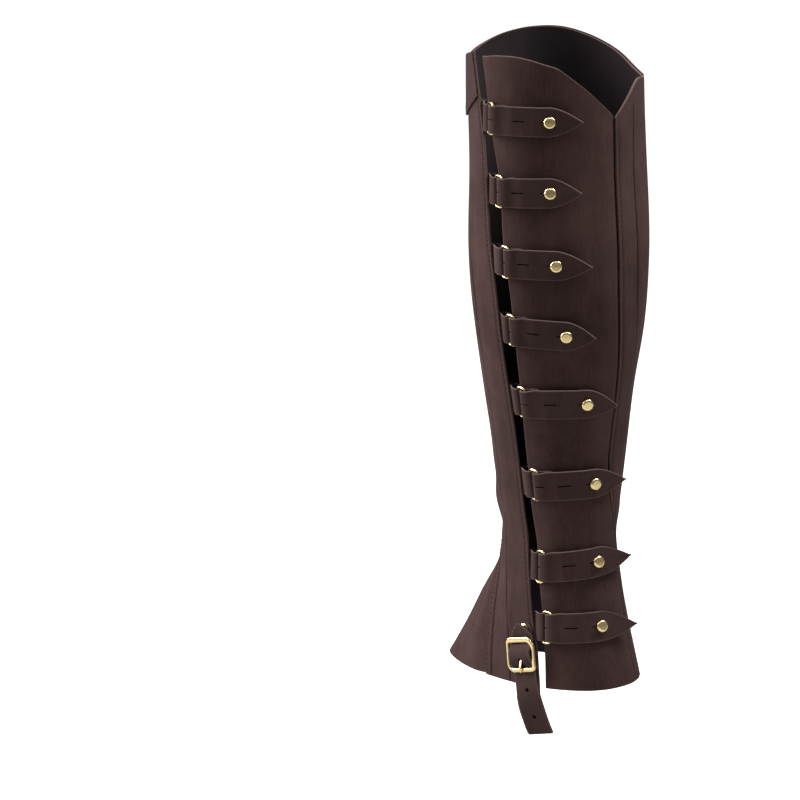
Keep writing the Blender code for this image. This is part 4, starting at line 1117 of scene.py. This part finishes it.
fold = [(way, lift, 1.0) for way, lift in arc((0.0, CENTRE_BAR_LIFT), CHAPE_FOLD, -75, -285, 8)]
line = smooth_line(CHAPE_BACK + fold + CHAPE_FRONT)
turning = int(np.argmin(line[1]))
slot_start = float(np.interp(-3.2, -line[1][:turning], line[0][:turning]))
cuts = [(slot_start, reached(line, 3.2), 1.9, slot_start, 0.0)]
finishes = [strap_finish, strap_finish]
buckle_tab = belt("buckle_tab_leather", line, CHAPE_WIDTH, CHAPE_LEATHER, on_buckle, cuts, finishes)
ready(buckle_tab, "buckle_tab", "strap_leather", flat=(0.015, 0.031), area=0.00043, held="folded",
      rests_on=["main_panel_leather"])

# The buckle: a cast brass frame with round corners and a rod across its middle, a prong bent round the
# rod with its tip on the lower bar, and a low rivet that fixes the tab.
BUCKLE_WIDTH = 26.5
BUCKLE_HEIGHT_OUTSIDE = 24.7
BUCKLE_BAR = 3.0
BUCKLE_THICK = 2.0
BUCKLE_LIFT = 5.6
BUCKLE_CORNERS = [(-1, 1, 3.4), (1, 1, 8.5), (1, -1, 4.2), (-1, -1, 6.8)]
SIDE_THINNED = 1.0
TOP_THICKENED = 0.9
BAR_REACH = 0.6


def flat_plate(width, height):
    """A flat oblong at the origin, left in edit mode with all of it selected."""
    bpy.ops.object.select_all(action="DESELECT")
    bpy.ops.mesh.primitive_plane_add(size=1.0)
    bpy.ops.object.mode_set(mode="EDIT")
    bpy.ops.mesh.select_all(action="SELECT")
    bpy.ops.transform.resize(value=(width * MM, height * MM, 1), center_override=(0, 0, 0))
    return bpy.context.object


def mounted(item, name, node, way, lift, smooth=40.0):
    """Finishes a brass piece of the buckle and sets it in its place."""
    settle(item, name, smooth)
    set_at(item, on_buckle(way, 0.0, lift), buckle_along, buckle_up, buckle_out)
    ready(item, node, "brass")


buckle = flat_plate(BUCKLE_WIDTH, BUCKLE_HEIGHT_OUTSIDE)
bpy.ops.mesh.select_mode(type="VERT")
for across, up, radius in BUCKLE_CORNERS:
    square = Vector((across * BUCKLE_WIDTH / 2, up * BUCKLE_HEIGHT_OUTSIDE / 2, 0)) * MM
    pick(buckle, lambda corner: (corner - square).length < 0.1 * MM)
    bpy.ops.mesh.bevel(offset=radius * MM, segments=9, affect="VERTICES")
bpy.ops.mesh.select_all(action="SELECT")
bpy.ops.mesh.inset(thickness=BUCKLE_BAR * MM, depth=0)
bpy.ops.mesh.delete(type="FACE")
half_x = (BUCKLE_WIDTH / 2 - BUCKLE_BAR + 0.05) * MM
half_y = (BUCKLE_HEIGHT_OUTSIDE / 2 - BUCKLE_BAR + 0.05) * MM
shift(buckle, lambda at: -half_x < at.x < -4 * MM and abs(at.y) < half_y, (-SIDE_THINNED, 0, 0))
half_x += SIDE_THINNED * MM
shift(buckle, lambda at: abs(at.x) < half_x and 3 * MM < at.y < half_y, (0, -TOP_THICKENED, 0))
bpy.ops.mesh.select_all(action="SELECT")
bpy.ops.mesh.extrude_region_move(TRANSFORM_OT_translate={"value": (0, 0, BUCKLE_THICK * MM)})
bpy.ops.mesh.select_all(action="SELECT")
bpy.ops.transform.translate(value=(0, 0, -BUCKLE_THICK / 2 * MM))
bpy.ops.object.mode_set(mode="OBJECT")
soften = buckle.modifiers.new("soft corners", "BEVEL")
soften.width = 0.75 * MM
soften.segments = 4
soften.angle_limit = math.radians(50)
bpy.ops.object.modifier_apply(modifier=soften.name)
bpy.ops.mesh.primitive_cylinder_add(
    vertices=24, radius=CENTRE_BAR / 2 * MM, depth=(BUCKLE_WIDTH - BUCKLE_BAR + 2 * BAR_REACH) * MM,
    rotation=(0, math.pi / 2, 0), location=(0, 0, (CENTRE_BAR_LIFT - BUCKLE_LIFT) * MM),
)
bpy.ops.object.transform_apply(location=True, rotation=True, scale=False)
buckle.select_set(True)
bpy.context.view_layer.objects.active = buckle
bpy.ops.object.join()
mounted(buckle, "buckle_frame_cast", "buckle_frame", 0.0, BUCKLE_LIFT)

PRONG_WIDTH = 2.1
PRONG_THICKNESS = 1.1
PRONG_EYE = CENTRE_BAR / 2 + 0.25 + PRONG_THICKNESS / 2
PRONG_SHANK = [
    (-1.6, 5.5, 1), (-3.6, 6, 0.93), (-6.2, 6.8, 0.93), (-9, 7.5, 0.93), (-11.6, 7.65, 0.67),
    (-12.6, 7.3, 0.4),
]
eye = [(way, lift, 1.0) for way, lift in arc((0.0, CENTRE_BAR_LIFT), PRONG_EYE, 430, 120, 18)[:-1]]
route = np.array(eye + PRONG_SHANK)
lean = np.unwrap(np.arctan2(np.gradient(route[:, 1]), np.gradient(route[:, 0])))

prong = flat_plate(PRONG_WIDTH, PRONG_THICKNESS)
bpy.ops.mesh.bevel(offset=0.3 * MM, segments=3, affect="VERTICES")
for i, (way, lift, share) in enumerate(route):
    here = Vector((0, way * MM, (lift - CENTRE_BAR_LIFT) * MM))
    if i == 0:
        bpy.ops.transform.rotate(value=-(lean[0] - math.pi / 2), orient_axis="X", center_override=(0, 0, 0))
        bpy.ops.transform.translate(value=here)
    else:
        bpy.ops.mesh.extrude_region_move(TRANSFORM_OT_translate={"value": here - last})
        bpy.ops.transform.rotate(value=-(lean[i] - lean[i - 1]), orient_axis="X", center_override=here)
        ratio = share / route[i - 1][2]
        bpy.ops.transform.resize(value=(ratio, ratio, ratio), center_override=here)
    last = here
mounted(prong, "buckle_prong_bent", "buckle_prong", 0.0, CENTRE_BAR_LIFT)

RIVET_PLACE = 17.2
RIVET_LIFT = SEAM_GAP + CHAPE_LEATHER + SEAM_GAP
RIVET_STEPS = [(4.3, 0), (4.5, 0.12), (4.35, 0.27), (3.3, 0.6), (1.75, 0.85), (0.6, 0.9)]
rivet = raise_steps(32, [(radius, RIVET_LIFT + rise) for radius, rise in RIVET_STEPS])
mounted(rivet, "tab_rivet_head", "tab_rivet", RIVET_PLACE, 0.0, 60.0)
